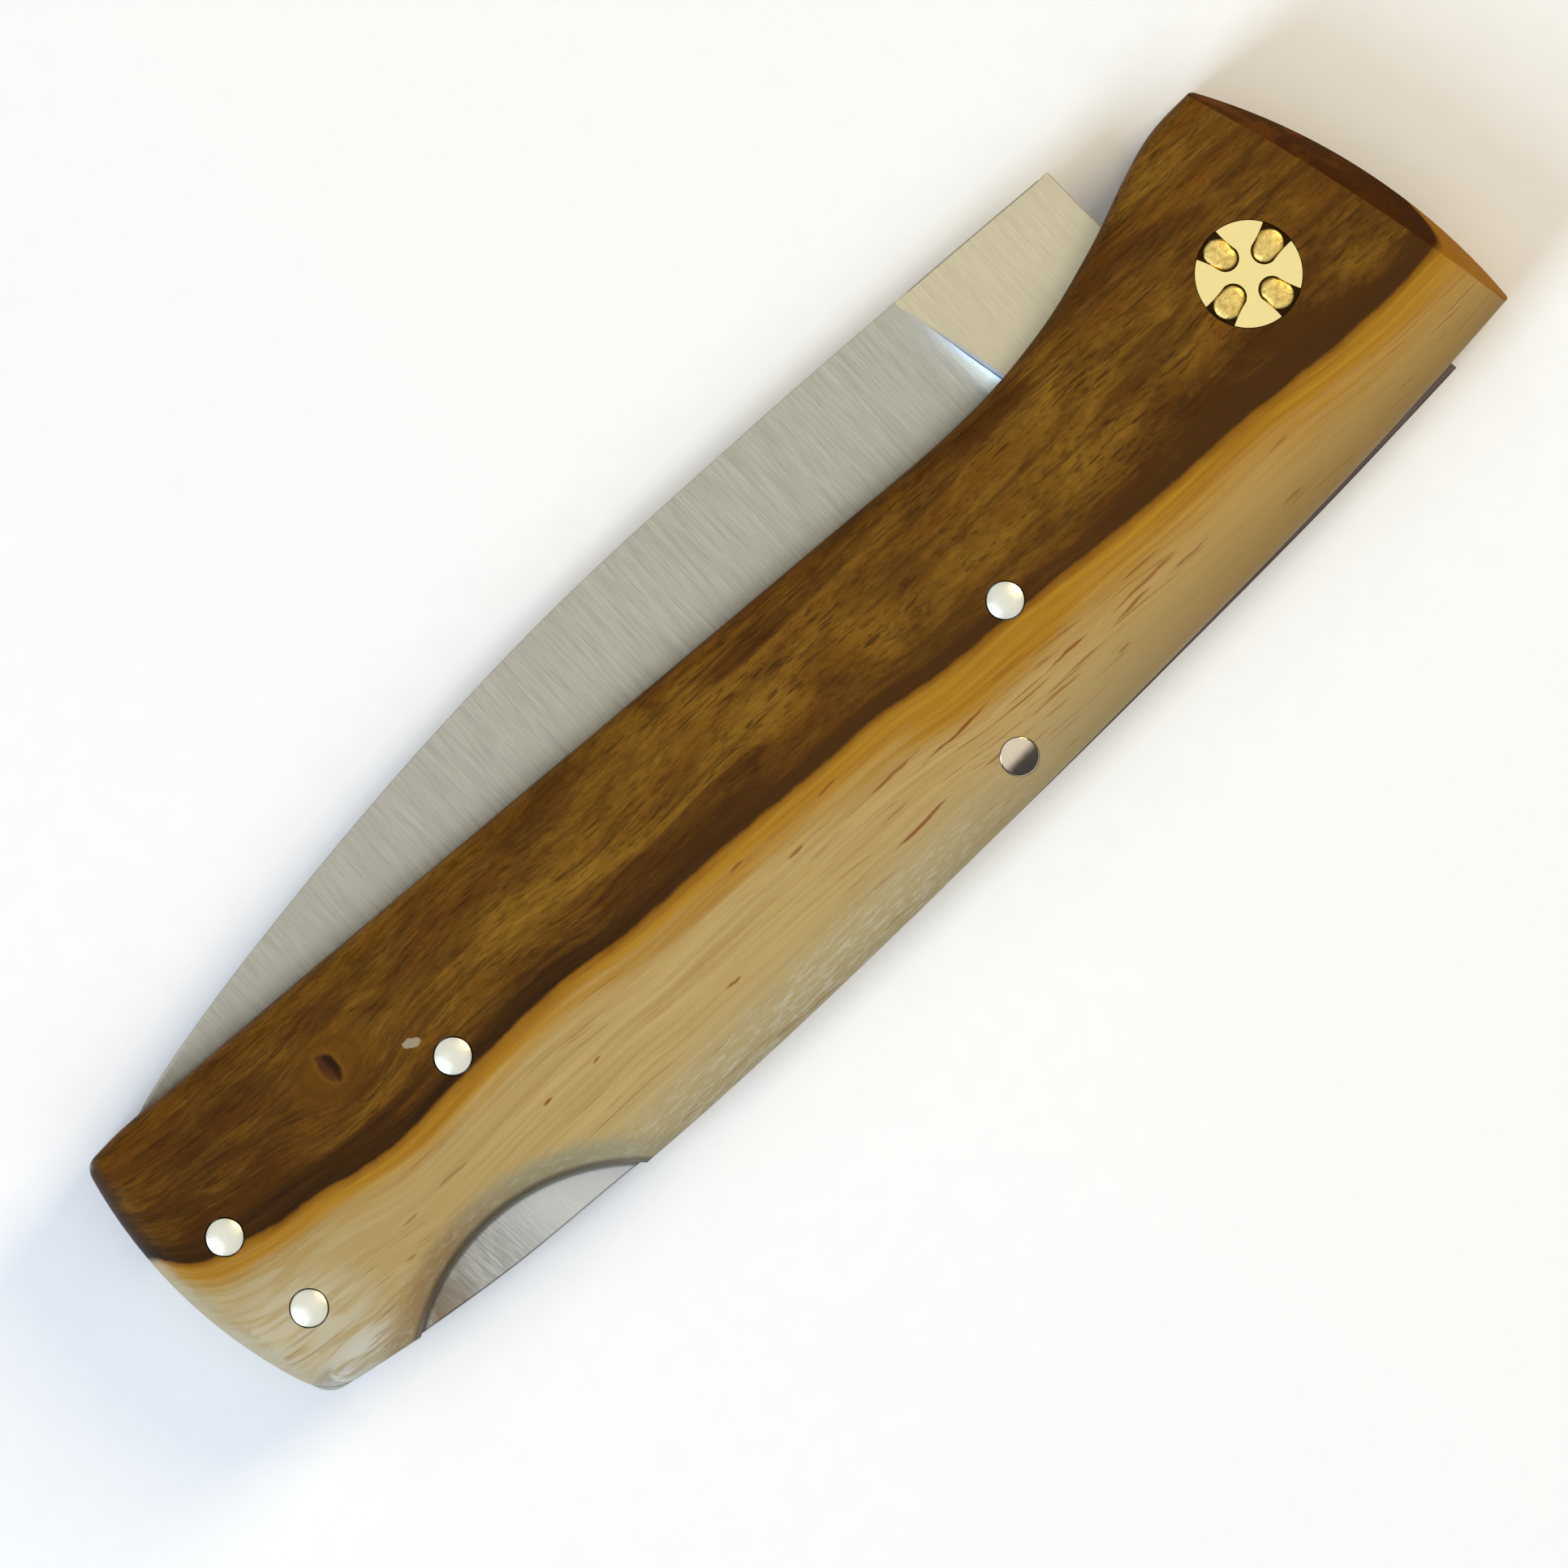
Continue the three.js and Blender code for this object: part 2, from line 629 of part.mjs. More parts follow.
function lockSpringGeometry() {
  const contactY = barUnderside + leafContactGap + leafThickness / 2;
  const { lerp } = THREE.MathUtils;
  const route = new THREE.SplineCurve(vectors([
    [spacerFrontX - leafSeat + leafSeatGap, leafSeatY],
    [spacerFrontX + leafSeat, leafSeatY],
    [lerp(spacerFrontX, leafContactX, 0.35), lerp(leafSeatY, contactY, 0.17)],
    [lerp(spacerFrontX, leafContactX, 0.7), lerp(leafSeatY, contactY, 0.62)],
    [leafContactX, contactY],
  ]));
  const steps = 18;
  const shape = new THREE.Shape();
  for (let k = 0; k <= steps; k++) {
    const [x, y] = insetPoint(route, k / steps, -leafThickness / 2);
    if (k === 0) shape.moveTo(x, y);
    else shape.lineTo(x, y);
  }
  for (let k = steps; k >= 0; k--) shape.lineTo(...insetPoint(route, k / steps, leafThickness / 2));
  return plate(shape, springSideGap - slotHalf, slotHalf - springSideGap);
}

// Assembly

const finishes = {
  wood: { color: '#8a5f1e', roughness: 0.35, metalness: 0 },
  steel: { color: '#bdbdb8', roughness: 0.32, metalness: 1 },
  brass: { color: '#d2a84e', roughness: 0.25, metalness: 1 },
  nickelSilver: { color: '#e6e1cf', roughness: 0.22, metalness: 1 },
  bronze: { color: '#a9783c', roughness: 0.4, metalness: 1 },
  springSteel: { color: '#8e9296', roughness: 0.38, metalness: 1 },
};

function piece(group, name, geometry, finish, place = [0, 0, 0]) {
  const mesh = new THREE.Mesh(geometry, new THREE.MeshStandardMaterial(finishes[finish]));
  mesh.name = name;
  mesh.position.set(...place);
  group.add(mesh);
  return mesh;
}

const knife = new THREE.Group();
const handle = new THREE.Group();
const blade = new THREE.Group();
const lock = new THREE.Group();
knife.add(handle, blade, lock);

const scale = frontScaleGeometry();
piece(handle, 'front_scale', scale, 'wood');
piece(handle, 'back_scale', mirrored(scale), 'wood');
const liner = frontLinerGeometry();
piece(handle, 'front_liner', liner, 'steel');
piece(handle, 'back_liner', mirrored(liner), 'steel');
piece(handle, 'butt_spacer', buttSpacerGeometry(), 'steel');
piece(handle, 'lock_spring', lockSpringGeometry(), 'springSteel');

piece(handle, 'scale_pin_front', pinGeometry(scalePinFront), 'nickelSilver');
piece(handle, 'scale_pin_rear', pinGeometry(scalePinRear), 'nickelSilver');
piece(handle, 'butt_pin_upper', pinGeometry(buttPinUpper), 'nickelSilver');
piece(handle, 'butt_pin_lower', pinGeometry(buttPinLower), 'nickelSilver');
piece(handle, 'rocker_pin', pinGeometry(rockerPin), 'steel');
piece(handle, 'spacer_bush_front', bushGeometry(), 'steel', [...scalePinFront, 0]);
piece(handle, 'spacer_bush_rear', bushGeometry(), 'steel', [...scalePinRear, 0]);

const shaftEnd = woodFace - pivotHeadThickness;
piece(handle, 'pivot_shaft', rod(pivotShaftRadius, [0, 0], -shaftEnd, shaftEnd), 'steel');
const head = pivotHeadGeometry();
piece(handle, 'pivot_head_front', head, 'brass', [0, 0, woodFace]);
piece(handle, 'pivot_head_back', mirrored(head), 'brass', [0, 0, -woodFace]);
const washerBore = pivotShaftRadius + pivotRunningGap;
const washerInner = slotHalf - washerThickness;
piece(handle, 'pivot_washer_front', ring(washerBore, washerRadius, washerInner, slotHalf), 'bronze');
piece(handle, 'pivot_washer_back', ring(washerBore, washerRadius, -slotHalf, -washerInner), 'bronze');

piece(blade, 'blade', bladeGeometry(), 'steel');
piece(lock, 'lock_bar', lockBarGeometry(), 'steel');

// The origin is on the surface that the knife lies on, under the middle of the closed knife
const box = new THREE.Box3().setFromObject(knife);
const middle = box.getCenter(new THREE.Vector3());
knife.position.set(-middle.x, -middle.y, -box.min.z);
knife.updateMatrixWorld(true);

export default knife;
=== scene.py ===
import math
from functools import partialmethod

import bmesh
import bpy
import numpy as np
from mathutils import Matrix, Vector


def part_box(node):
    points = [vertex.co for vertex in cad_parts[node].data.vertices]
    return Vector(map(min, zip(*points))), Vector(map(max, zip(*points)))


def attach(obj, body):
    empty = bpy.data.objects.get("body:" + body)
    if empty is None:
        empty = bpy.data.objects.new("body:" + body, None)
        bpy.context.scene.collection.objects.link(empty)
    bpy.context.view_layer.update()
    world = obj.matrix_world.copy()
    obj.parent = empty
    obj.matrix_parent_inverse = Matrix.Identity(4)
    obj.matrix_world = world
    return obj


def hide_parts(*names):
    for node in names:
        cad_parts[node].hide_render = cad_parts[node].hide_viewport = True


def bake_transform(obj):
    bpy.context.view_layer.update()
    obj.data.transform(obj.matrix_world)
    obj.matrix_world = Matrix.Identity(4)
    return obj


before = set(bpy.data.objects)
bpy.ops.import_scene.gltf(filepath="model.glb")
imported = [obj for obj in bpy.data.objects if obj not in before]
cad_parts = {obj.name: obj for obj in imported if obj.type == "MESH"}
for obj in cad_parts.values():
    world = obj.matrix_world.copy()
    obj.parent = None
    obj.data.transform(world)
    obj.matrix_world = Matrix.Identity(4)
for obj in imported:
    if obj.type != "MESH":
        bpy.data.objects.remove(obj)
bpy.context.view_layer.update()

# A folding pocket knife with a back lock, lying closed on its back scale. Sizes are in
# millimetres from the centre of the pivot: X runs from the butt to the pivot end, Y towards the
# blade's spine and Z up through the thickness. Meshes are moved to the frame, in metres, when made.
MM = 0.001
shaft_low, shaft_high = (np.array(corner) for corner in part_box("pivot_shaft"))
PIVOT = (shaft_low + shaft_high) / 2

# Thicknesses, from the middle of the knife outwards
BLADE_HALF = 1.5
SLOT_HALF = 1.85
LINER_FACE = 2.85
WOOD_FACE = 7.85
BAR_HALF = 1.75

# Handle outline
BUTT_BACK = (-106.35, -12.0)
BUTT_BELLY = (-107.55, 12.85)
FRONT_BELLY = (6.4, 12.7)
FRONT_BACK = (12.6, -14.7)
BACK_LINE = [
    BUTT_BACK, (-94, -14.35), (-82, -15.65), (-68, -16.45), (-50, -16.72), (-28, -16.5),
    (-8, -16.0), (4, -15.35), FRONT_BACK,
]
BELLY_LINE = [
    BUTT_BELLY, (-103.5, 12.95), (-97, 12.45), (-80, 11.2), (-56, 9.35), (-38, 8.0),
    (-23.4, 7.03), (-14.4, 7.7), (-7.2, 9.5), (-1.8, 11.45), (2.2, 12.55), FRONT_BELLY,
]
BUTT_RADIUS = 37.3
FRONT_RADIUS = 47.6
FRONT_CORNER = 0.25
BUTT_BELLY_CORNER = 0.9
BUTT_BACK_CORNER = 2.3
WOOD_INSET = 0.03
LINER_INSET = 0.02

# Rounding of the wood towards each edge: how wide the curve is, and how far it falls
BACK_ROUNDING = (5.6, 4.3)
BELLY_ROUNDING = (2.3, 2.0)
BUTT_ROUNDING = (1.8, 2.4)
FRONT_WIDTH = 1.95
FRONT_CORNER_WIDTH = 0.35
FRONT_FALL = 4.4
FRONT_START = 0.3
WOOD_SINK = 0.02
WOOD_LIP = 0.3

# Thumb notch
NOTCH_CENTRE = (-89.7, -27.9)
NOTCH_RADIUS = 17.0
NOTCH_FLARE = 1.9
NOTCH_SOFTNESS = 0.9

# Pins and pivot
PIN_RADIUS = 1.45
PIN_RIM = 0.04
RIVET_RADIUS = 1.42
RIVET_EASE = 0.06
RIVET_PLACES = [(-29.7, -4.7), (-82.4, -0.3), (-103.8, 1.9), (-103.0, -6.2)]
ROCKER_PIN = (-37.0, -13.7)
ROCKER_BORE = 1.53
# A dressed end from its middle to its rim: share of the radius, and how far it is eased
DRESSED_END = [
    (0.0, 0.0), (0.3, 0.0), (0.55, 0.0), (0.75, 0.0), (0.88, 0.0), (0.95, 0.0), (0.985, 0.01),
    (1.0, 0.04),
]
HEAD_RADIUS = 4.0
HEAD_SEAT = 2.0
SHAFT_RADIUS = 2.5
CROSS_TURN = math.radians(-33)
POCKET_OFFSET = 2.07
POCKET_RADIUS = 1.0
POCKET_MOUTH = 2.85
POCKET_END = 4.4
POCKET_BOW = 0.10
POCKET_DEPTH = 0.72
PILLOW_GAP = 0.09
PILLOW_SHOULDER = 2.75
PILLOW_END = 3.88
PILLOW_HALF_WIDTH = 1.12
# A pillow's dome from its foot to its middle: share of the outline, and height
PILLOW_DOME = [
    (1.0, 0.0), (1.0, 0.40), (0.97, 0.47), (0.90, 0.52), (0.79, 0.56), (0.62, 0.59), (0.40, 0.61),
    (0.0, 0.62),
]

# Blade, as it lies when closed
OPEN_ANGLE = math.radians(176)
SHOULDER = (-5.3, 15.8)
TIP = (-105.2, 11.9)
HEEL = (-16.6, -2.9)
SPINE_LINE = [
    SHOULDER, (-18, 16.68), (-34, 17.6), (-53, 18.22), (-70, 17.55), (-86.4, 15.85),
    (-98, 13.95), TIP,
]
EDGE_LINE = [
    HEEL, (-29.7, -1.75), (-47.3, -0.48), (-64.8, 0.98), (-82.4, 2.65), (-91, 4.9), (-99.5, 8.3), TIP,
]
PLUNGE_SPINE_X = -20.2
PLUNGE_WIDTH = 2.8
PLUNGE_BOW = 0.42
SPINE_TAPER = 0.55
SPINE_TAPER_POWER = 1.6
EDGE_HALF = 0.04
BEVEL_HALF = 0.3
BEVEL_WIDTH = 0.9
SPINE_EASE = 0.1
SHAFT_BORE = 2.58

# Tang and lock bar
CREST_RADIUS = 10.05
LUG_GAP = 0.06
LUG_HEIGHT = 1.5
LUG_LENGTH = 4.7
LOCK_DROP = math.radians(0.8)
LOCK_GAP = 0.12
NOSE_GAP = 0.15
KICK_X = -8.4
KICK_LENGTH = 2.2
KICK_GAP = 0.2
BAR_NOSE_Y = -15.7
BAR_TAIL = (-98.9, -13.3)
BAR_BACK = [
    (-8, -16.3), (-24, -16.58), (-38, -16.68), (-56, -16.62), (-70, -16.25), (-80, -15.42),
    (-90, -14.6), BAR_TAIL,
]
BAR_TAIL_DEPTH = 3.6
BAR_TAIL_TAPER = 30
ROCKER_BOSS = 3.4

# Leaf spring between the butt spacer and the bar
LEAF_HALF = 1.5
LEAF_ROOT = 1.0
LEAF_END = 0.8
LEAF_SEAT_X = -101.8
LEAF_FREE_X = -97.1
LEAF_END_X = -60.0
LEAF_Y = -4.0
LEAF_GAP = 0.3

# The paper under the knife, in metres, and how much of its white is its own
FLOOR_HALF = 12.0
PAPER_FIBRE = 0.0025
PAPER_GLOW = 0.08


# Lines in plan

def around(angles):
    """Points on a circle of radius one."""
    return np.stack([np.cos(angles), np.sin(angles)], -1)


def circle(radius, place=(0, 0), sides=96):
    turn = np.linspace(0, 2 * math.pi, sides, endpoint=False)
    return np.array(place) + radius * around(turn)


def left_of(ways):
    """Unit steps to the left of some ways."""
    ways = ways / np.linalg.norm(ways, axis=-1, keepdims=True)
    return np.stack([-ways[..., 1], ways[..., 0]], -1)


def turned(points, angle):
    c, s = math.cos(angle), math.sin(angle)
    return np.asarray(points, float) @ np.array([[c, s], [-s, c]])


def smooth_line(points, samples=700):
    """A smooth line through the points, closely sampled."""
    knots = np.array(points, float)
    last = len(knots) - 1
    t = np.linspace(0, last, samples)
    i = np.minimum(t.astype(int), last - 1)
    w = (t - i)[:, None]
    before, start, end, after = (knots[np.clip(i + k, 0, last)] for k in (-1, 0, 1, 2))
    lead = (end - before) / 2
    trail = (after - start) / 2
    cubic = 2 * start - 2 * end + lead + trail
    square = 3 * end - 3 * start - 2 * lead - trail
    return ((cubic * w + square) * w + lead) * w + start


def bent_line(start, corner, end, count):
    """A curve from start to end that bends towards a corner."""
    t = np.linspace(0, 1, count)[:, None]
    return (1 - t) ** 2 * start + 2 * t * (1 - t) * corner + t * t * end


def arc_centre(start, end, radius):
    """The centre of the arc from start to end that bulges to the right of the way there."""
    a, b = np.array(start, float), np.array(end, float)
    half = np.linalg.norm(b - a) / 2
    return (a + b) / 2 + math.sqrt(radius * radius - half * half) * left_of(b - a)


def arc_line(start, end, radius, samples=300):
    centre = arc_centre(start, end, radius)
    angles = [math.atan2(*(np.array(p) - centre)[::-1]) for p in (start, end)]
    if angles[1] < angles[0]:
        angles[1] += 2 * math.pi
    return centre + radius * around(np.linspace(*angles, samples))


class Edge:
    """A line in plan, measured along its length."""

    def __init__(self, points):
        self.points = points
        steps = np.linalg.norm(np.diff(points, axis=0), axis=1)
        self.along = np.concatenate([[0], np.cumsum(steps)])
        self.length = self.along[-1]

    def at(self, share):
        distance = np.asarray(share) * self.length
        return np.stack([np.interp(distance, self.along, axis) for axis in self.points.T], -1)

    def inset(self, share, distance):
        """Points moved to the left of the way along the edge."""
        small = 0.1 / self.length
        ahead = self.at(np.minimum(share + small, 1)) - self.at(np.maximum(share - small, 0))
        return self.at(share) + distance * left_of(ahead)

    def nearest(self, places):
        """Distance to the edge, and how far along it the nearest point is, as a share."""
        ways = np.diff(self.points, axis=0)
        lengths = np.maximum((ways ** 2).sum(1), 1e-12)
        found = []
        for some in np.array_split(places.reshape(-1, 2), places.size // 4000 + 1):
            gap = some[:, None] - self.points[:-1]
            t = np.clip((gap * ways).sum(2) / lengths, 0, 1)
            off = np.linalg.norm(gap - t[..., None] * ways, axis=2)
            rows, best = np.arange(len(some)), off.argmin(1)
            way = self.along[best + 1] - self.along[best]
            found.append([off[rows, best], (self.along[best] + t[rows, best] * way) / self.length])
        return np.concatenate(found, 1).reshape(2, *places.shape[:-1])


def at_x(edge, x):
    """The height of a line that runs towards -X, at a given X."""
    return np.interp(-np.asarray(x), -edge.points[:, 0], edge.points[:, 1])


FRONT_CENTRE = arc_centre(FRONT_BACK, FRONT_BELLY, FRONT_RADIUS)
BUTT_CENTRE = arc_centre(BUTT_BELLY, BUTT_BACK, BUTT_RADIUS)
back_edge = Edge(smooth_line(BACK_LINE))
belly_edge = Edge(smooth_line(BELLY_LINE))
front_edge = Edge(arc_line(FRONT_BACK, FRONT_BELLY, FRONT_RADIUS))
butt_edge = Edge(arc_line(BUTT_BELLY, BUTT_BACK, BUTT_RADIUS))
spine = Edge(smooth_line(SPINE_LINE))
cutting_edge = Edge(smooth_line(EDGE_LINE))

# The handle's sides, counter-clockwise, each with the easing of the corner where it starts,
# and then with the side and the easing that come after
handle_sides = [
    (back_edge, BUTT_BACK_CORNER), (front_edge, FRONT_CORNER),
    (Edge(belly_edge.points[::-1]), FRONT_CORNER), (butt_edge, BUTT_BELLY_CORNER),
]
side_pairs = [(*side, *after)
              for side, after in zip(handle_sides, handle_sides[1:] + handle_sides[:1])]


def handle_outline(inset, spacing=0.7):
    """The handle's outline, counter-clockwise, drawn in by an inset and with eased corners."""
    outline = []
    for edge, ease, after, ease_after in side_pairs:
        count = round(edge.length / spacing)
        share = np.linspace(ease / edge.length, 1 - ease_after / edge.length, count)
        line = edge.inset(share, inset)
        corner = (edge.inset(1.0, inset) + after.inset(0.0, inset)) / 2
        there = after.inset(ease_after / after.length, inset)
        outline += [line, bent_line(line[-1], corner, there, 8)[1:-1]]
    return np.concatenate(outline)


# Meshes

def placed(name, data):
    """A new object in the scene."""
    thing = bpy.data.objects.new(name, data)
    bpy.context.scene.collection.objects.link(thing)
    return thing


def mesh_of(name, points, faces):
    """A mesh in millimetres, its faces pointing outwards."""
    mesh = bpy.data.meshes.new(name)
    mesh.from_pydata(np.asarray(points, float).tolist(), [], faces)
    tidy = bmesh.new()
    tidy.from_mesh(mesh)
    bmesh.ops.remove_doubles(tidy, verts=tidy.verts, dist=2e-5)
    bmesh.ops.recalc_face_normals(tidy, faces=tidy.faces)
    tidy.to_mesh(mesh)
    tidy.free()
    return mesh


def quads(index):
    """Faces over a grid of point numbers."""
    corners = [index[:-1, :-1], index[1:, :-1], index[1:, 1:], index[:-1, 1:]]
    return np.stack(corners, -1).reshape(-1, 4).tolist()


def slab_mesh(name, plan, top, bottom):
    """A closed body over a grid of places, between two fields of heights."""
    points = [np.dstack([plan, height]).reshape(-1, 3) for height in (top, bottom)]
    index = np.arange(top.size).reshape(top.shape)
    rim = np.concatenate([index[:, 0], index[-1, 1:], index[-2::-1, -1], index[0, -2::-1]])
    walls = quads(np.stack([rim, rim + top.size]))
    return mesh_of(name, np.concatenate(points), quads(index) + quads(index + top.size) + walls)


def raised(line, z):
    """A line in plan as points at a height, or at heights."""
    return np.column_stack([line, np.full(len(line), z)])


def stacked_mesh(name, rings):
    """A closed body through rings of points, with a face over the first and the last."""
    rings = np.array(rings, float)
    index = np.arange(rings[..., 0].size).reshape(rings.shape[:2])
    walls = quads(np.column_stack([index, index[:, 0]]))
    return mesh_of(name, rings.reshape(-1, 3), walls + index[[0, -1]].tolist())


def plate_mesh(name, outline, bottom, top, ease):
    """A flat plate with eased edges."""
    inward = ease * left_of(np.roll(outline, -1, 0) - np.roll(outline, 1, 0))
    levels = [(bottom, 1), (bottom + ease, 0), (top - ease, 0), (top, 1)]
    return stacked_mesh(name, [raised(outline + inward * share, z) for z, share in levels])


def rod_mesh(radius, place, bottom, top, sides=96):
    return stacked_mesh("rod", [raised(circle(radius, place, sides), z) for z in (bottom, top)])


def plain_mesh(thing):
    """A plain copy of an object's mesh as its modifiers leave it."""
    depsgraph = bpy.context.evaluated_depsgraph_get()
    return bpy.data.meshes.new_from_object(thing.evaluated_get(depsgraph))


def cut(mesh, tools, operation="DIFFERENCE"):
    """The mesh with each tool cut from it, or joined to it."""
    body = placed("work", mesh)
    for tool in tools:
        helper = placed("tool", tool)
        step = body.modifiers.new("cut", "BOOLEAN")
        step.operation = operation
        step.solver = "MANIFOLD"
        step.object = helper
        result = plain_mesh(body)
        body.modifiers.clear()
        body.data = result
        bpy.data.objects.remove(helper)
    bpy.data.objects.remove(body)
    return result


def joined(name, meshes):
    """One mesh made of several."""
    whole = bmesh.new()
    for mesh in meshes:
        whole.from_mesh(mesh)
    result = bpy.data.meshes.new(name)
    whole.to_mesh(result)
    whole.free()
    return result


def flipped(mesh):
    """The mesh seen in a mirror that lies in the middle of the knife."""
    mirrored = mesh.copy()
    mirrored.transform(Matrix.Scale(-1, 4, (0, 0, 1)))
    mirrored.flip_normals()
    return mirrored


def in_frame(places):
    """Places in millimetres as points of the frame, in metres."""
    return np.asarray(places) * MM + PIVOT


def piece(name, mesh, material, body, nodes, sharp_angle=38, bend=None):
    """A finished piece: in place, with its material, riding on its body, or left unattached in the frame
    when a bend is given.
    """
    points = np.empty(len(mesh.vertices) * 3)
    mesh.vertices.foreach_get("co", points)
    mesh.vertices.foreach_set("co", in_frame(points.reshape(-1, 3)).ravel())
    mesh.update()
    mesh.shade_smooth()
    mesh.set_sharp_from_angle(angle=math.radians(sharp_angle))
    mesh.name = name
    mesh.materials.clear()
    mesh.materials.append(material)
    thing = placed(name, mesh)
    if bend is None:
        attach(thing, body)
    else:
        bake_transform(thing)
    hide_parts(*nodes)


def pair(names, mesh, material, nodes, sharp_angle=38):
    """A piece at the front of the handle, and its mirror image at the back."""
    for name, side, node in zip(names, (mesh, flipped(mesh)), nodes):
        piece(name, side, material, "handle", [node], sharp_angle)


# Node trees

def light(shade):
    """A colour of three numbers, 0 to 255 as on a screen, turned into light."""
    if isinstance(shade, Value) or len(shade) == 4:
        return shade
    shares = [number / 255 for number in shade]
    return (*(s / 12.92 if s <= 0.04045 else ((s + 0.055) / 1.055) ** 2.4 for s in shares), 1.0)


def shaded(shade, amount):
    return tuple(min(1.0, c * amount) for c in light(shade)[:3]) + (1.0,)


def feed(node, inputs):
    """Sets inputs of a node, by name or number, each to a constant or a value."""
    for key, value in inputs.items():
        if isinstance(value, Value):
            node.id_data.links.new(value.socket, node.inputs[key])
        else:
            node.inputs[key].default_value = value


def add(tree, kind, inputs=(), **settings):
    """The outputs of a new node."""
    node = tree.nodes.new(kind)
    for name, setting in settings.items():
        setattr(node, name, setting)
    feed(node, dict(inputs))
    return {socket.identifier: Value(socket) for socket in node.outputs}


class Value:
    """A node's output. A formula of values adds the nodes that work it out."""

    def __init__(self, socket):
        self.socket = socket

    def put(self, kind, inputs, **settings):
        """The outputs of a new node in the same tree."""
        return list(add(self.socket.id_data, kind, inputs, **settings).values())

    def calc(self, operation, *others):
        return self.put("ShaderNodeMath", enumerate((self, *others)), operation=operation)[0]

    __add__ = partialmethod(calc, "ADD")
    __sub__ = partialmethod(calc, "SUBTRACT")
    __mul__ = partialmethod(calc, "MULTIPLY")
    __truediv__ = partialmethod(calc, "DIVIDE")
    __abs__ = partialmethod(calc, "ABSOLUTE")
    most = partialmethod(calc, "MAXIMUM")
    root = partialmethod(calc, "SQRT")
    sine = partialmethod(calc, "SINE")

    def __rsub__(self, other):
        return self * -1 + other

    def parts(self):
        return self.put("ShaderNodeSeparateXYZ", {0: self})

    def group(self, tree, **inputs):
        """The outputs of a group that this place goes into."""
        return self.put("ShaderNodeGroup", {"Place": self, **inputs}, node_tree=tree)

    def noise(self, size=1.0, start=(0, 0, 0), detail=3.0, roughness=0.5, distortion=0.0):
        """Noise from 0 to 1 in patches of a size, or of a size along each axis."""
        scale = tuple(1 / (np.ones(3) * size))
        inputs = {"Vector": self, "Location": start, "Scale": scale}
        place = self.put("ShaderNodeMapping", inputs)[0]
        inputs = {"Vector": place, "Scale": 1.0, "Detail": detail, "Roughness": roughness,
                  "Distortion": distortion}
        return self.put("ShaderNodeTexNoise", inputs)[0]

    def map(self, low, high, *ends, straight=False):
        """Where this is from low to high, in numbers: 0 to 1, 0 to one end, or two ends."""
        first, last = (0.0, *(ends or [1.0]))[-2:]
        kind = "LINEAR" if straight else "SMOOTHSTEP"
        inputs = {"Value": self, "From Min": low, "From Max": high, "To Min": first, "To Max": last}
        return self.put("ShaderNodeMapRange", inputs, interpolation_type=kind)[0]

    def ramp(self, *stops):
        """Colours at stops between 0 and 1, and mixtures between them."""
        result = self.put("ShaderNodeValToRGB", {"Fac": self})[0]
        elements = result.socket.node.color_ramp.elements
        while len(elements) < len(stops):
            elements.new(1.0)
        for element, (position, shade) in zip(elements, stops):
            element.position = position
            element.color = light(shade)
        return result

    def along_curve(self, points):
        """The height of a curve at a share of its width."""
        result = self.put("ShaderNodeFloatCurve", {"Value": self})[0]
        mapping = result.socket.node.mapping
        line = mapping.curves[0].points
        while len(line) < len(points):
            line.new(0.5, 0.5)
        for point, place in zip(line, points):
            point.location = place
        mapping.update()
        return result


def place_of(x, y, z):
    return x.put("ShaderNodeCombineXYZ", {0: x, 1: y, 2: z})[0]


def mix(factor, first, second, blend="MIX"):
    """A mixture of two colours; at least one of the three is a node's output."""
    inputs = {0: factor, 6: light(first), 7: light(second)}
    some = next(value for value in inputs.values() if isinstance(value, Value))
    return some.put("ShaderNodeMix", inputs, data_type="RGBA", blend_type=blend)[2]


def layered(base, *layers):
    """Colours laid over a base one after another, each as strong as its amount."""
    for amount, shade in layers:
        base = mix(amount, base, shade)
    return base


def new_tree(name, kind, **sockets):
    """A node tree with its inputs: each a kind of socket, or a number to start from."""
    tree = bpy.data.node_groups.new(name, kind)
    for key, value in sockets.items():
        number = not isinstance(value, str)
        socket_type = "NodeSocket" + ("Float" if number else value)
        socket = tree.interface.new_socket(key, in_out="INPUT", socket_type=socket_type)
        if number:
            socket.default_value = value
    start = tree.nodes.new("NodeGroupInput").outputs
    return tree, *(Value(start[key]) for key in sockets)


def finished_tree(tree, kind="Float", **outputs):
    """The tree with its outputs, each given its value."""
    for key in outputs:
        tree.interface.new_socket(key, in_out="OUTPUT", socket_type="NodeSocket" + kind)
    feed(tree.nodes.new("NodeGroupOutput"), outputs)
    return tree


def make_brushed_group():
    """Fine parallel scratches: a value around one half, and a height for the bump."""
    tree, place, width, length = new_tree(
        "brushed lines", "ShaderNodeTree", Place="Vector", Width=0.1, Length=12.0)
    x, y, z = place.parts()
    noises = []
    for share, start in ((1.0, 0.0), (5.0, 31.0)):
        long = length * (1.0 + share / 3)
        place = place_of((x + start) / (width * share), y / long, z / long)
        noises.append(place.noise(roughness=0.65))
    fine, broad = noises
    return finished_tree(tree, Tone=fine * 0.75 + broad * 0.25, Height=fine)


def make_handling_group():
    """Faint smears from handling: a mask from 0 to 1."""
    tree, place, size = new_tree("handling marks", "ShaderNodeTree", Place="Vector", Size=6.0)
    spread = place_of(*(part / size for part in place.parts()))
    return finished_tree(tree, Smear=spread.noise(detail=4.0, distortion=0.6).map(0.42, 0.72))


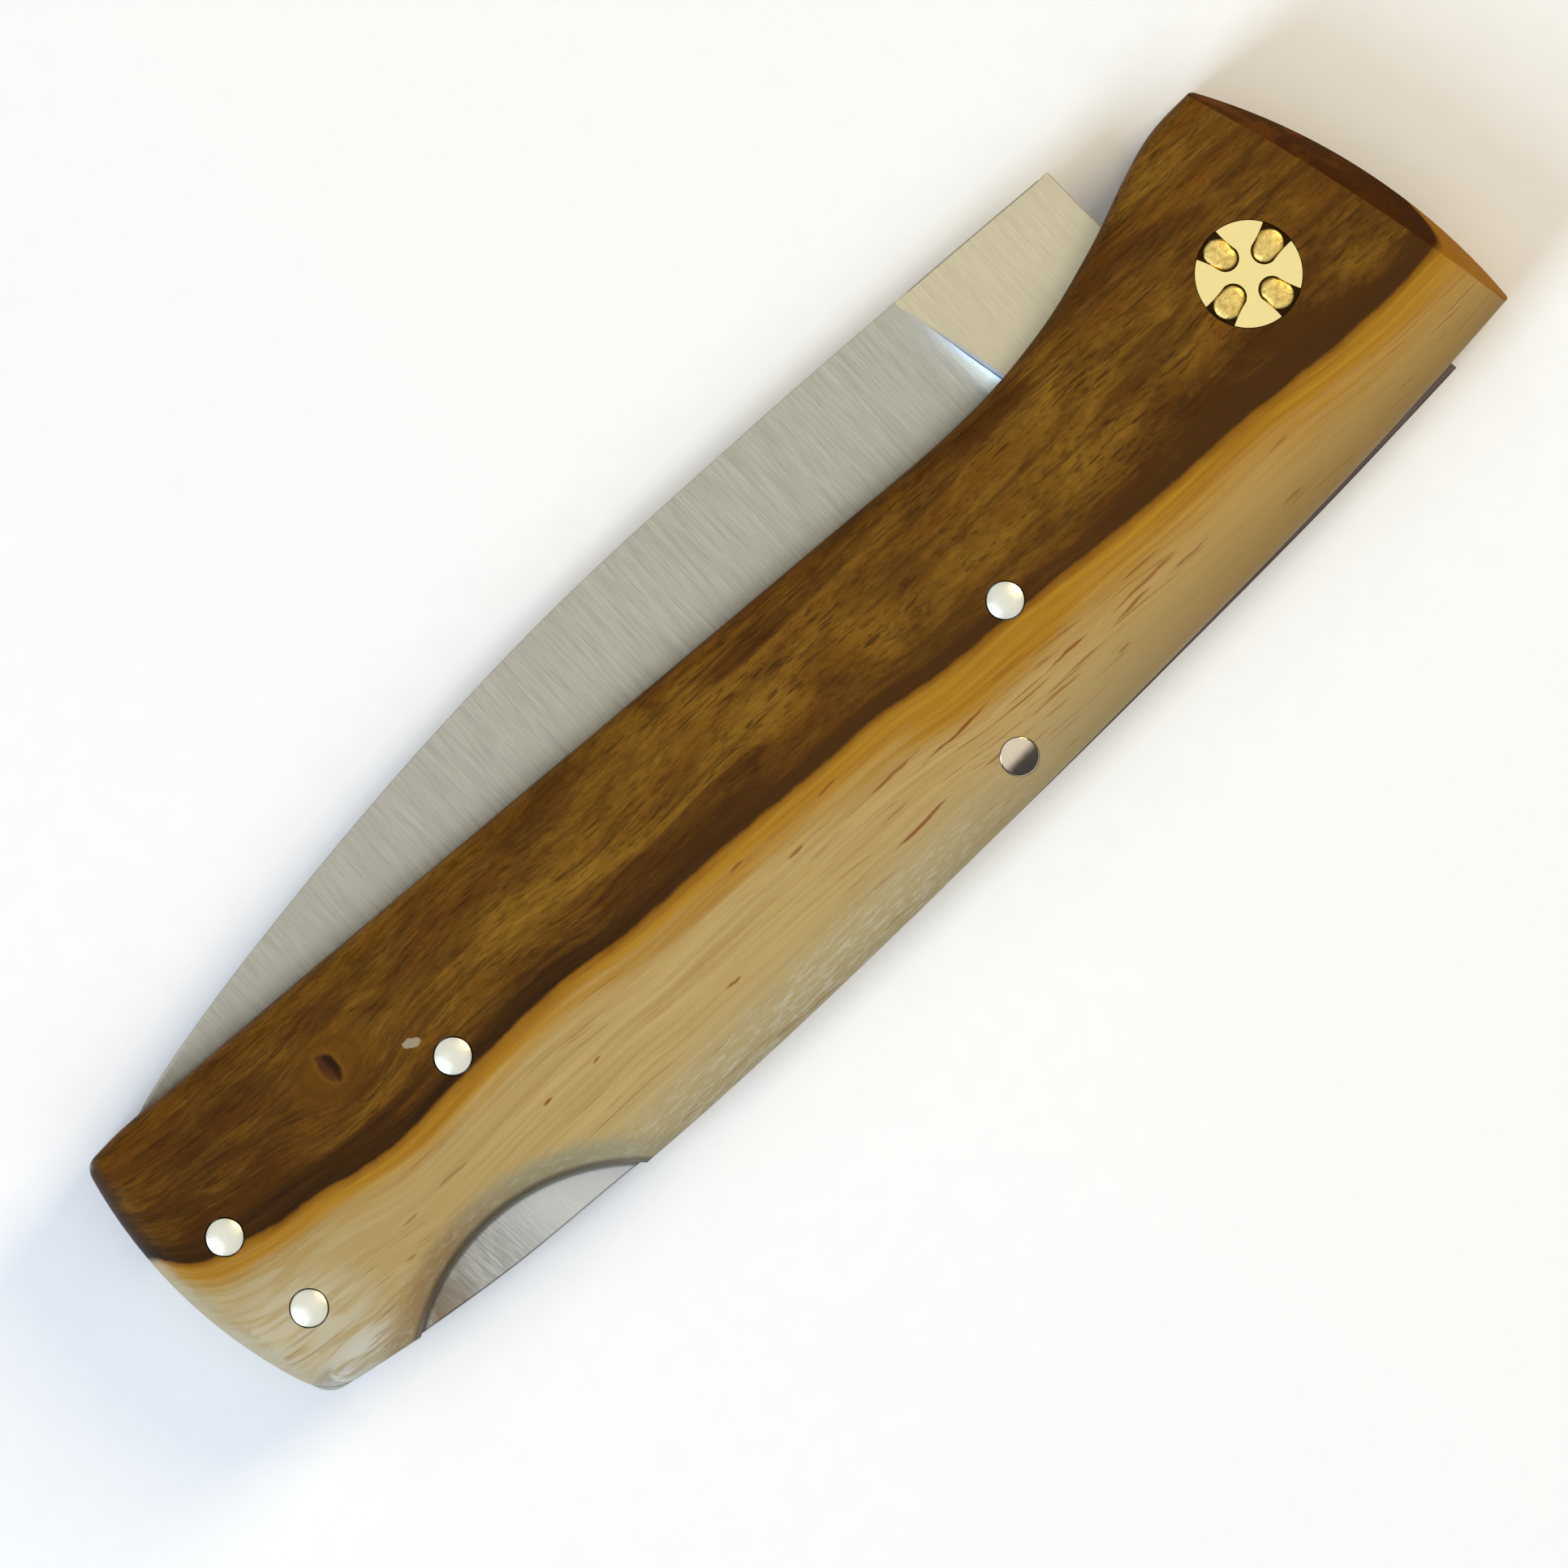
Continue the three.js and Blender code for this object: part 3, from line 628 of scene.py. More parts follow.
def make_fibre_group():
    """Wood fibres that run along X: a soft tone, and sparse short dark pores."""
    tree, place, length, width = new_tree(
        "wood fibres", "ShaderNodeTree", Place="Vector", Length=14.0, Width=0.5)
    x, y, z = place.parts()
    place = place_of(x / length, y / width, z / width)
    tone = place.noise(detail=5.0, roughness=0.62)
    dashes = place.noise((1 / 5, 1 / 3.2, 1 / 3.2), detail=2.0)
    return finished_tree(tree, Tone=tone, Pores=dashes.map(0.62, 0.74))


brushed_lines = make_brushed_group()
handling_marks = make_handling_group()
wood_fibres = make_fibre_group()


def new_material(name, constants):
    """A material, and the place in millimetres from the pivot."""
    material = bpy.data.materials.new(name)
    material.use_nodes = True
    feed(material.node_tree.nodes["Principled BSDF"], constants)
    place = add(material.node_tree, "ShaderNodeTexCoord")["Object"]
    inputs = {"Vector": place, "Location": tuple(-PIVOT / MM), "Scale": (1 / MM,) * 3}
    return material, place.put("ShaderNodeMapping", inputs)[0]


def dressed(material, base, roughness, height, depth, strength):
    """The material with its colour, roughness and bump; the bump's depth is in millimetres."""
    inputs = {"Height": height, "Distance": depth * MM, "Strength": strength}
    normal = height.put("ShaderNodeBump", inputs)[0]
    inputs = {"Base Color": base, "Roughness": roughness, "Normal": normal}
    feed(material.node_tree.nodes["Principled BSDF"], inputs)
    return material


# Wood: pale sapwood along the back, an orange stripe and a dark band, then brown heartwood
BOUNDARY = [
    (-112, 6.4), (-109, 4.7), (-107.4, 2.7), (-106, 1.6), (-103.5, 0.75), (-100, -0.15), (-97, -0.6),
    (-93, -1.5), (-90, -1.95), (-82, -1.85), (-73, -2.0), (-67, -2.8), (-57, -3.25), (-47, -4.0),
    (-42, -4.35), (-37, -5.2), (-27, -6.1), (-17, -7.0), (-7, -7.55), (3, -8.4), (8, -8.4), (14, -7.9),
]
BOUNDARY_X = (-112.0, 14.0)
BOUNDARY_Y = (-10.0, 6.0)
KNOT = (-89.5, 5.5)
PALE_FLECK = (-83.9, 2.55)
RED_FLECKS = (-33, -10.6)
WIDE_GOLD = (-34, -7.6)
PALE_CORNER = (-106.5, -8.5)

# Centre, half width and half height of each stain, and of each light area with its amount
STAINS = [
    ((-38.5, 5.8), 7.0, 0.55), ((-101, 2.6), 7.5, 1.9), ((-23, 1.3), 4.0, 0.35), ((-8, -4.3), 9.0, 0.8),
    ((-60, 0.0), 9.0, 0.8), ((-98.5, 8.8), 7.0, 2.4), ((-22, 5.6), 7.0, 1.2), ((-11, 8.2), 7.0, 1.9),
    ((-46, 6.4), 6.0, 0.8), ((-92, 0.2), 5.0, 0.9), ((-78, 5.6), 6.0, 0.9), ((-9, 0.6), 5.0, 1.3),
]
LIGHT_AREAS = [
    ((-67, 3.6), 10, 2.0, 0.045), ((-47, 1.5), 9, 1.9, 0.030), ((7.5, 1.0), 5, 7.5, 0.050),
    ((-31, 2.2), 12, 3.4, -0.045), ((2, 9), 7, 2.2, 0.035), ((5, -5.6), 6, 1.6, 0.035),
]

# Place, half length and strength of each plain red fleck
FLECKS = [
    (-39.0, -9.1, 3.4, 0.9), (-44.6, -8.1, 2.6, 0.7), (-45.2, -12.3, 3.0, 0.8), (-38.5, -12.5, 0.8, 0.6),
    (-28.9, -10.6, 2.4, 0.8), (-21.6, -10.9, 3.6, 0.6), (-23.2, -11.5, 1.9, 0.7), (-17.8, -11.8, 2.0, 0.6),
    (-48.8, -5.4, 0.9, 0.7), (-57.8, -4.9, 0.8, 0.7), (-53.7, -7.0, 0.8, 0.7), (-63.8, -10.9, 0.7, 0.7),
    (-25.8, -13.3, 0.7, 0.5), (-9.0, -14.2, 1.1, 0.5), (-92.9, -6.6, 0.9, 0.5), (-88.5, -6.7, 1.5, 0.4),
    (-79.7, -7.5, 0.5, 0.9), (-75.0, -8.0, 0.4, 0.8), (-95.0, -8.8, 0.6, 0.5), (-7.2, -10.5, 1.1, 0.4),
]
FLECK_HALF_WIDTH = 0.13


def far_from(x, y, centre, half_width, half_height):
    """The squared distance from a centre, in units of two half sizes."""
    across = (x - centre[0]) / half_width
    up = (y - centre[1]) / half_height
    return across * across + up * up


def beyond_rim(x, y, centre, radius):
    """How far a place is outside a circle."""
    return (far_from(x, y, centre, radius, radius).root() - 1.0) * radius


def make_heartwood(place, grain, x, y, beyond, tone, pores):
    """Brown and gold in soft patches, with dark streaks, and darkest along the boundary."""
    mottle = grain.noise((6.6, 2.0, 4), (4.3, 1.7, 0), detail=5.0, distortion=0.5)
    broad = grain.noise((30, 5.5, 9), (1.2, 0.4, 0), detail=2.0)
    grit = grain.noise((1.4, 0.35, 0.7), detail=5.0, roughness=0.75)
    figure = mottle * 0.40 + broad * 0.30 + tone * 0.12 + grit * 0.24 - 0.028
    figure += x.map(-104, -80, -0.05, -0.008) + beyond.map(0.5, 5.0, -0.060, 0.0)
    figure += beyond.map(6.5, 10.5, -0.035) + x.map(-25, -8) * beyond.map(2.5, 7.0, -0.035, 0.0)
    for centre, half_width, half_height, amount in LIGHT_AREAS:
        figure += far_from(x, y, centre, half_width, half_height).map(1.4, 0.0, amount)
    heart = figure.ramp((0.38, (78, 48, 14)), (0.45, (100, 65, 19)), (0.51, (117, 80, 24)),
                        (0.57, (132, 94, 29)), (0.65, (150, 110, 38)))

    rust = grain.noise((14, 2.4, 4), (8, 5, 0))
    streak = grain.noise((13, 0.5, 1.8), (0, 3.3, 0), detail=4.0, distortion=0.3)
    dashes = grain.noise((2.2, 0.2, 0.5), (2, 6, 0), detail=2.0)
    zone = place.noise((9, 3, 5), (5, 1, 0)).map(0.30, 0.58)
    pits = grain.noise((1.1, 0.14, 0.4), (6, 2, 0), detail=2.0)
    heart = layered(
        heart,
        (rust.map(0.48, 0.68, 0.38), (112, 64, 16)),
        (streak.map(0.54, 0.66, 0.5), (74, 48, 16)),
        (dashes.map(0.56, 0.68, 0.75) * zone, (62, 39, 13)),
        (pits.map(0.56, 0.68, 0.5), (68, 43, 15)),
        (pores * 0.3, (54, 35, 12)),
    )
    for stain in STAINS:
        ragged = far_from(x, y, *stain) + (streak - 0.5) * 5.0
        heart = mix(ragged.map(1.2, 0.2, 0.55), heart, (62, 34, 11))

    reach = beyond - (grain.noise((15, 0.9, 3), (7, 0, 0), detail=4.0) - 0.5) * 5.0
    band = tone.ramp((0.35, (44, 28, 12)), (0.68, (62, 39, 16)))
    band = mix(x.map(-80, -45, 0.7), band, (76, 48, 19))
    return mix(reach.map(3.2, 0.4, 0.94), heart, band)


def make_sapwood(place, grain, x, y, beyond):
    """Tan with faint fibres, gold next to the boundary, greyer at the back with painted shade and sheen,
    with red flecks.
    """
    tone, _ = grain.group(wood_fibres, Length=18.0, Width=0.6)
    to_pivot = x.map(-55, -5)
    # Painted shade and sheen on the back's rounding
    back = mix(to_pivot, (176, 162, 122), (156, 128, 78))
    lines = grain.noise((12, 0.45, 1.2), (0, 4, 0))
    # Painted sheen: whitish streaks of lacquer reflection along the back edge
    sheen_streaks = place.noise((1.6, 0.22, 0.5), (5, 7, 0), detail=4.0, roughness=0.7)
    painted_sheen = y.map(-12.0, -15.4) * sheen_streaks.map(0.46, 0.66, 0.6) * x.map(-30, -56)
    # Paler towards the butt's back corner: partly paler wood, partly painted highlight in streaks
    pale_and_highlight_streaks = grain.noise((5, 0.6, 1), (3, 1, 0), detail=4.0, distortion=0.5)
    corner = far_from(x, y, PALE_CORNER, 8.5, 6.5).map(1.3, 0.2) * pale_and_highlight_streaks.map(0.36, 0.58, 0.25, 0.9)
    pale = corner.most(x.map(-90, -104) * pale_and_highlight_streaks.map(0.46, 0.64, 0.35))
    sap = layered(
        tone.ramp((0.32, (172, 143, 90)), (0.50, (183, 155, 100)), (0.68, (191, 165, 111))),
        (to_pivot * 0.7, (178, 140, 74)),
        (lines.map(0.55, 0.70, 0.28), (164, 122, 68)),
        (x.map(-70, -100) * 0.55, (166, 144, 96)),
        (y.map(-10.5, -15.2, 0.85), back),
        (painted_sheen, (208, 203, 186)),
        (pale, mix(y.map(-9.0, -12.0), (193, 183, 154), (216, 214, 202))),
    )

    # Gold patches that fade into the sapwood, and a rusty line against the dark band
    wave = grain.noise((17, 1.0, 4), (2, 5, 0), detail=5.0) - 0.5
    wide = far_from(x, y, WIDE_GOLD, 9, 2.6).map(1.2, 0.0, 2.0)
    depth = (beyond + wave * 4.4 + wide) / x.map(-90, -35, 3.3, 5.0)
    gold = tone.ramp((0.34, (154, 104, 20)), (0.66, (176, 130, 29)))
    rust = (beyond + wave * 0.8).map(-0.8, 0.0, 0.8)
    sap = layered(sap, (depth.map(-1.0, -0.2, 0.92), gold), (rust, (120, 74, 18)))

    # Red flecks: faint ones anywhere, and the plain ones in their places
    near = far_from(x, y, RED_FLECKS, 24, 3.0).map(1.2, 0.0)
    where = place.noise((12, 3.0, 5), (3, 8, 0), detail=2.0).map(0.40, 0.60)
    faint = grain.noise((6.0, 0.27, 0.8), (9, 2, 0), detail=2.0, roughness=0.45) + near * 0.015
    flecks = faint.map(0.61, 0.70, 0.7) * near.most(where * 0.6)
    ragged = place.noise((1.3, 0.5, 0.5)) - 0.5
    bent_y = y + (place.noise((6, 5, 9)) - 0.5) * 1.2
    for *centre, half_length, strength in FLECKS:
        fleck = far_from(x, bent_y, centre, half_length, FLECK_HALF_WIDTH) + ragged * 2.2
        flecks = flecks.most(fleck.map(1.4, 0.2, strength))
    return mix(flecks, sap, (128, 70, 30))


def make_wood():
    material, place = new_material("lacquered wood", {"Specular IOR Level": 0.03})
    x, y, z = place.parts()

    # How far a point is on the heartwood's side of the boundary, which climbs on the end face
    corner = np.array([BOUNDARY_X[0], BOUNDARY_Y[0]])
    size = np.array([BOUNDARY_X[1], BOUNDARY_Y[1]]) - corner
    edge = x.map(*BOUNDARY_X, straight=True).along_curve((np.array(BOUNDARY) - corner) / size)
    edge = edge.map(0, 1, *BOUNDARY_Y, straight=True)
    off = y - edge
    depth = WOOD_FACE - abs(z)
    wobble = place.noise((3, 1.6, 2.5), detail=5.0, roughness=0.62) - 0.5
    beyond = off - depth * depth * x.map(8, 10, 0.22) + wobble * 0.6

    # The fibres follow the boundary, wander a little, and part round the knot
    slow = place.noise((24, 9, 9), detail=2.0) - 0.5
    knot_far = far_from(x, y, KNOT, 4.2, 2.9)
    pulled = (y - KNOT[1]) * (knot_far * -1.0).calc("EXPONENT") * -0.72
    follow = edge * abs(off).map(12, 0, 0.35, 0.9)
    grain = place_of(x, y - follow + slow * 2.0 + pulled, z)
    tone, pores = grain.group(wood_fibres, Length=8.0, Width=0.36)

    # Worn, greyish fibres round the thumb notch, with painted shade along its foot
    notch_gap = beyond_rim(x, y, NOTCH_CENTRE, NOTCH_RADIUS)
    nicks = place.noise((1.4, 0.5, 0.8), detail=5.0, roughness=0.65)
    scoop = (notch_gap + (nicks - 0.5) * 1.8).map(2.7, 1.3, 0.7)
    sap = layered(
        make_sapwood(place, grain, x, y, beyond),
        (scoop, mix(x.map(-94, -86), (152, 128, 90), (160, 150, 118))),
        (nicks.map(0.50, 0.68, 0.5) * scoop, (200, 194, 170)),
        # Painted shade: a dark line at the foot of the notch's wall
        (notch_gap.map(0.6, 0.2, 0.75), (74, 62, 46)),
    )

    # The knot, and a pale fleck beside the rear rivet
    ragged = place.noise((0.35, 0.8, 0.6), detail=4.0) - 0.5
    rings = (knot_far.root() * 13.0 + ragged * 4.0).sine()
    ring = far_from(x, y, KNOT, 1.1, 1.8) + ragged * 1.2
    core = far_from(x, y, KNOT, 0.66, 1.25) + ragged * 2.0
    core_tone = mix(x.map(KNOT[0] - 0.3, KNOT[0] + 0.3), (76, 42, 22), (32, 19, 12))
    lean = x + (y - PALE_FLECK[1]) * 0.8
    spot = far_from(lean, y, PALE_FLECK, 0.62, 0.5) + ragged * 1.8
    heart = layered(
        make_heartwood(place, grain, x, y, beyond, tone, pores),
        (knot_far.map(1.3, 0.1, 0.4), (126, 80, 20)),
        (knot_far.map(1.0, 0.2) * rings.map(0.2, 0.9, 0.26), (70, 42, 15)),
        (ring.map(1.2, 0.5, 0.36), (128, 86, 34)),
        (core.map(1.5, 0.5, 0.92), core_tone),
        (spot.map(1.1, 0.6, 0.75), (172, 158, 134)),
    )

    # Darker end grain on the slanted face at the pivot end and on the butt's rounding, deepened by painted
    # shade
    bulge = y.map(FRONT_BACK[1], FRONT_BELLY[1], math.pi, straight=True).sine().most(0.0)
    width = bulge.calc("POWER", 0.8) * (FRONT_WIDTH - FRONT_CORNER_WIDTH) + FRONT_CORNER_WIDTH
    front_end = (width + beyond_rim(x, y, FRONT_CENTRE, FRONT_RADIUS)).map(-0.03, 0.03)
    front_end *= x.calc("GREATER_THAN", 0.0)
    blotch = place.noise((2.2, 2.0, 2.0), (4, 4, 0)).map(0.40, 0.62)
    end_grain_and_shade = mix(blotch, (62, 35, 12), (94, 52, 14))
    end_grain_and_shade = mix(beyond.map(11.0, 5.0, 0.85), end_grain_and_shade, (59, 32, 12))
    # The butt's grey-blue dark is partly a painted dark reflection
    butt_far = far_from(x, y, BUTT_CENTRE, BUTT_RADIUS, BUTT_RADIUS)
    butt_end = butt_far.map(0.935, 0.985) * x.map(-98, -102)
    to_heart = beyond.map(-0.6, 0.3)
    base = layered(
        mix(beyond.map(-0.14, 0.18), sap, heart),
        (front_end * 0.85, mix(to_heart, (150, 102, 34), end_grain_and_shade)),
        (butt_end * 0.7, mix(to_heart, (192, 180, 150), (56, 52, 50))),
    )
    smear, = place.group(handling_marks, Size=9.0)
    gloss = tone.map(0.3, 0.7, 0.30, 0.40) + smear * 0.08 + front_end * 0.55
    return dressed(material, base, gloss, tone - pores * 0.5, depth=0.03, strength=0.6)


# Metals

METAL = {"Metallic": 1.0}


def make_steel(name, shade, gloss, line_width, line_length, tilt, contrast=0.10, tint=None):
    """Brushed steel, its scratches across the piece's length and turned by a tilt."""
    material, place = new_material(name, METAL)
    tilted = place.put("ShaderNodeMapping", {"Vector": place, "Rotation": (0, 0, tilt)})[0]
    tone, height = tilted.group(brushed_lines, Width=line_width, Length=line_length)
    smear, = place.group(handling_marks, Size=8.0)
    base = tone.ramp((0.34, shaded(shade, 1 - contrast)), (0.5, shade),
                     (0.66, shaded(shade, 1 + contrast)))
    if tint:
        base = tint(place, base)
    base = mix(smear * 0.08, base, shaded(shade, 0.8))
    rough = tone.map(0.35, 0.65, gloss - 0.04, gloss + 0.05) + smear * 0.05
    return dressed(material, base, rough, height, depth=0.010, strength=0.5)


def blade_tint(place, base):
    """Darker towards the tip, with a painted warm reflection on the flat before the grind and a painted
    cool glint between.
    """
    x, y, _ = place.parts()
    share = y.map(HEEL[1], SPINE_LINE[1][1], 1.0, 0.0, straight=True)
    plunge = share.map(0, 1, PLUNGE_SPINE_X, HEEL[0], straight=True)
    gap = x - (plunge + (share * math.pi).sine() * PLUNGE_BOW)
    # A painted cool glint just before the plunge line
    painted_glint = gap.map(-0.9, -0.35) * gap.map(0.1, -0.1) * share.map(0.08, 0.5, 0.62)
    base = layered(base, (x.map(-35, -100, 0.24), (146, 147, 140)), (painted_glint, (170, 198, 236)))
    # A painted warm reflection on the flat before the grind
    warm = mix(1.0, base, (1.30, 1.21, 1.02, 1.0), "MULTIPLY")
    return mix(gap.map(-0.1, 0.1), base, mix(0.5, warm, (196, 189, 161)))


def notch_foot_shade(place, base):
    """Painted shade: darker along the foot of the notch's wall."""
    x, y, _ = place.parts()
    far = far_from(x, y, NOTCH_CENTRE, NOTCH_RADIUS, NOTCH_RADIUS)
    return mix(far.map(0.955, 0.985, 0.75) * far.calc("LESS_THAN", 1.04), base, (78, 74, 66))


def bar_tint(place, base):
    """Brightest at the front of the notch, tan-brown in patches at its rear, with painted shade and dark
    reflection on the edge beyond.
    """
    x, y, _ = place.parts()
    # Tan-brown patches at the rear of the notch
    stain = x.map(-90, -97) * place.noise(2.0).map(0.36, 0.56, 0.2, 0.85)
    base = layered(
        base,
        (x.map(-91, -84, 0.85), (196, 195, 190)),
        # Painted shade and dark reflection on the bar's back edge towards the pivot
        (y.map(-14.9, -15.2, 0.88) * x.map(-56, -38), (80, 60, 50)),
        (stain, (122, 104, 78)),
    )
    return notch_foot_shade(place, base)


def make_gold(name, shade, rough_shade, low_shade, gloss):
    """Polished alloy on the cross, rougher on the pillows, with painted shade in the gaps round them."""
    material, place = new_material(name, METAL)
    depth = WOOD_FACE - abs(place.parts()[2])
    low = depth.map(0.03, 0.08)
    grit = place.noise(1 / 2.2, detail=4.0, roughness=0.6)
    tone, _ = place.group(brushed_lines, Width=0.07, Length=5.0)
    smear, = place.group(handling_marks, Size=2.0)
    top = tone.ramp((0.3, shaded(shade, 0.94)), (0.7, shade))
    pillow = grit.ramp((0.34, low_shade), (0.60, rough_shade))
    # Painted shade: dark brown deep in the pockets, round the pillows
    base = mix(depth.map(0.36, 0.58), mix(low, top, pillow), (50, 32, 14))
    rough = low * 0.16 + gloss + smear * 0.05
    return dressed(material, base, rough, (grit - 0.5) * low, depth=0.10, strength=0.5)


def make_rivet_metal(name, shade, gloss):
    """Dressed rivet metal: faint scratches and pits."""
    material, place = new_material(name, METAL)
    lines, _ = place.group(brushed_lines, Width=0.12, Length=1.6)
    tone = lines * 0.5 + place.noise(1 / 2.6, detail=5.0, roughness=0.7) * 0.5
    base = tone.ramp((0.34, shaded(shade, 0.96)), (0.50, shade))
    rough = tone.map(0.35, 0.65, gloss - 0.04, gloss + 0.06)
    return dressed(material, base, rough, tone, depth=0.004, strength=0.4)


lacquered_wood = make_wood()
blade_steel = make_steel("satin blade steel", (174, 171, 157), 0.34, 0.11, 2.6, 0.03,
                         contrast=0.15, tint=blade_tint)
bar_steel = make_steel("brushed bar steel", (165, 164, 158), 0.32, 0.17, 1.6, -0.06,
                       contrast=0.28, tint=bar_tint)
# The liners take the painted shade along the foot of the thumb notch
liner_steel = make_steel("liner steel", (180, 178, 170), 0.36, 0.12, 14.0, 1.5, tint=notch_foot_shade)
spring_steel = make_steel("spring steel", (150, 152, 155), 0.42, 0.2, 8.0, 1.5)
shaft_steel = make_steel("turned shaft steel", (190, 190, 188), 0.3, 0.1, 3.0, 0.0)
nickel_silver = make_rivet_metal("nickel silver", (227, 226, 211), 0.28)
rocker_metal = make_rivet_metal("polished pin steel", (222, 207, 184), 0.14)
gold_alloy = make_gold("pale gold alloy", (248, 229, 157), (230, 203, 121), (190, 158, 82), 0.18)
washer_bronze = make_rivet_metal("washer bronze", (190, 140, 82), 0.4)


# Wooden scales

def front_width(share):
    """How wide the rounding at the pivot end is, by the share of the way up that end."""
    bulge = np.sin(math.pi * np.clip(share, 0, 1)) ** 0.8
    return FRONT_CORNER_WIDTH + (FRONT_WIDTH - FRONT_CORNER_WIDTH) * bulge


def notch_distance(places):
    return np.linalg.norm(places - np.array(NOTCH_CENTRE), axis=-1)


def wood_height(places):
    """The height of the front scale's surface at places in plan."""
    falls = []
    roundings = [(back_edge, BACK_ROUNDING), (belly_edge, BELLY_ROUNDING), (butt_edge, BUTT_ROUNDING)]
    for edge, (width, fall) in roundings:
        reach = np.clip(1 - edge.nearest(places)[0] / width, 0, 1)
        falls.append(fall * (1 - np.sqrt(1 - reach * reach)))
    front_off, front_share = front_edge.nearest(places)
    reach = np.clip(1 - front_off / front_width(front_share), 0, 1)
    falls.append(FRONT_FALL * (FRONT_START * reach + (1 - FRONT_START) * reach ** 2))
    surface = WOOD_FACE - WOOD_SINK - np.sqrt(sum(fall ** 2 for fall in falls))
    climb = np.maximum(notch_distance(places) - NOTCH_RADIUS, 0) / NOTCH_FLARE
    scoop = LINER_FACE + (WOOD_FACE - LINER_FACE) * np.sqrt(climb)
    near = np.clip(0.5 + 0.5 * (scoop - surface) / NOTCH_SOFTNESS, 0, 1)
    soft = scoop + (surface - scoop) * near - NOTCH_SOFTNESS * near * (1 - near)
    lowest = LINER_FACE + WOOD_LIP
    return np.where(soft > lowest + 1, soft, lowest + np.exp(np.minimum(soft - lowest - 1, 0)))


def rounding_steps(width, count):
    """Distances from an edge that divide its rounding into equal turns."""
    return width * (1 - np.cos(np.linspace(0, math.pi / 2, count + 1)))


def patch(along, across):
    """The place in plan at shares of the way along and across the handle."""
    s, t = along[..., None], across[..., None]
    low, high = back_edge.at(along), belly_edge.at(along)
    butt, front = butt_edge.at(1 - across), front_edge.at(across)
    corners = ((1 - s) * (1 - t) * np.array(BUTT_BACK) + s * (1 - t) * np.array(FRONT_BACK)
               + s * t * np.array(FRONT_BELLY) + (1 - s) * t * np.array(BUTT_BELLY))
    return (1 - t) * low + t * high + (1 - s) * butt + s * front - corners


def scale_grid():
    """Places in plan of the scale's grid, finer where the wood rounds over."""
    length = back_edge.length
    butt_steps = rounding_steps(BUTT_ROUNDING[0], 9)
    front_steps = rounding_steps(1.0, 12)[::-1]
    even = np.linspace(0, 1, round(length / 0.5) + 1)[1:-1]
    middle = butt_steps[-1] + even * (length - butt_steps[-1])
    columns = np.concatenate([butt_steps, middle, np.full(len(front_steps), length)])[:, None]
    drawn_in = np.concatenate([np.zeros(len(butt_steps)), even, front_steps])[:, None]
    start = WOOD_INSET / length

    def along_at(across):
        return start + (1 - 2 * start) * (columns - drawn_in * front_width(across)) / length

    def inside_notch(across):
        spots = patch(along_at(across), across)
        return notch_distance(spots) < NOTCH_RADIUS + WOOD_INSET

    # Each column starts at the back edge, or where the thumb notch leaves off
    ends = along_at(np.zeros(columns.shape))
    widths = np.linalg.norm(back_edge.at(ends) - belly_edge.at(ends), axis=-1)
    first = WOOD_INSET / widths
    inner, outer = np.full(first.shape, 0.5), first
    for _ in range(30):
        halfway = (inner + outer) / 2
        inside = inside_notch(halfway)
        outer, inner = np.where(inside, halfway, outer), np.where(inside, inner, halfway)
    first = np.where(inside_notch(first), inner, first)
    low_steps = rounding_steps(BACK_ROUNDING[0], 15)
    high_steps = rounding_steps(BELLY_ROUNDING[0], 10)
    rows = []
    for width, begin in zip(widths[:, 0], first[:, 0]):
        usable = width * (1 - begin) - WOOD_INSET
        between = np.linspace(low_steps[-1], usable - high_steps[-1], 35)[1:-1]
        steps = np.concatenate([low_steps, between, (usable - high_steps)[::-1]])
        rows.append(begin + steps / width)
    across = np.array(rows)
    return patch(along_at(across), across)


def round_corners(places):
    """Eases the four corners of the plan."""
    result = places.copy()
    for edge, _, after, rounding in side_pairs:
        near = np.linalg.norm(places - after.at(0.0), axis=-1) < 4
        p, q = (np.maximum(rounding + WOOD_INSET - side.nearest(places[near])[0], 0)
                for side in (edge, after))
        share = 1 - np.maximum(p, q) / np.maximum(np.hypot(p, q), 1e-9)
        inward = [edge.inset(1.0, 1.0) - edge.at(1.0), after.inset(0.0, 1.0) - after.at(0.0)]
        result[near] += np.outer(share * p, inward[0]) + np.outer(share * q, inward[1])
    return result


def bored(mesh, tools, sides=96):
    """The mesh with tools cut from it, and holes for the pins and for the pivot's shaft."""
    for place in [*RIVET_PLACES, ROCKER_PIN]:
        tools.append(rod_mesh(PIN_RADIUS + PIN_RIM, place, 0, WOOD_FACE + 1, sides))
    tools.append(rod_mesh(SHAFT_RADIUS + PIN_RIM, (0, 0), 0, WOOD_FACE + 1))
    return cut(mesh, tools)


def make_scale_mesh():
    plan = scale_grid()
    top = wood_height(plan)
    solid = slab_mesh("scale", round_corners(plan), top, np.full(top.shape, LINER_FACE))
    seat = rod_mesh(HEAD_RADIUS + PIN_RIM, (0, 0), WOOD_FACE - HEAD_SEAT, WOOD_FACE + 1, 128)
    return bored(solid, [seat])


pair(["front_wood_scale", "back_wood_scale"], make_scale_mesh(), lacquered_wood,
     ["front_scale", "back_scale"], 30)


# Steel liners

def make_liner_mesh():
    plate = plate_mesh("liner", handle_outline(LINER_INSET), SLOT_HALF, LINER_FACE, 0.06)
    notch = rod_mesh(NOTCH_RADIUS - WOOD_INSET, NOTCH_CENTRE, 0, WOOD_FACE, 360)
    return bored(plate, [notch], 48)


pair(["front_steel_liner", "back_steel_liner"], make_liner_mesh(), liner_steel,
     ["front_liner", "back_liner"])


# Rivets: one round-ended wire at each of four places

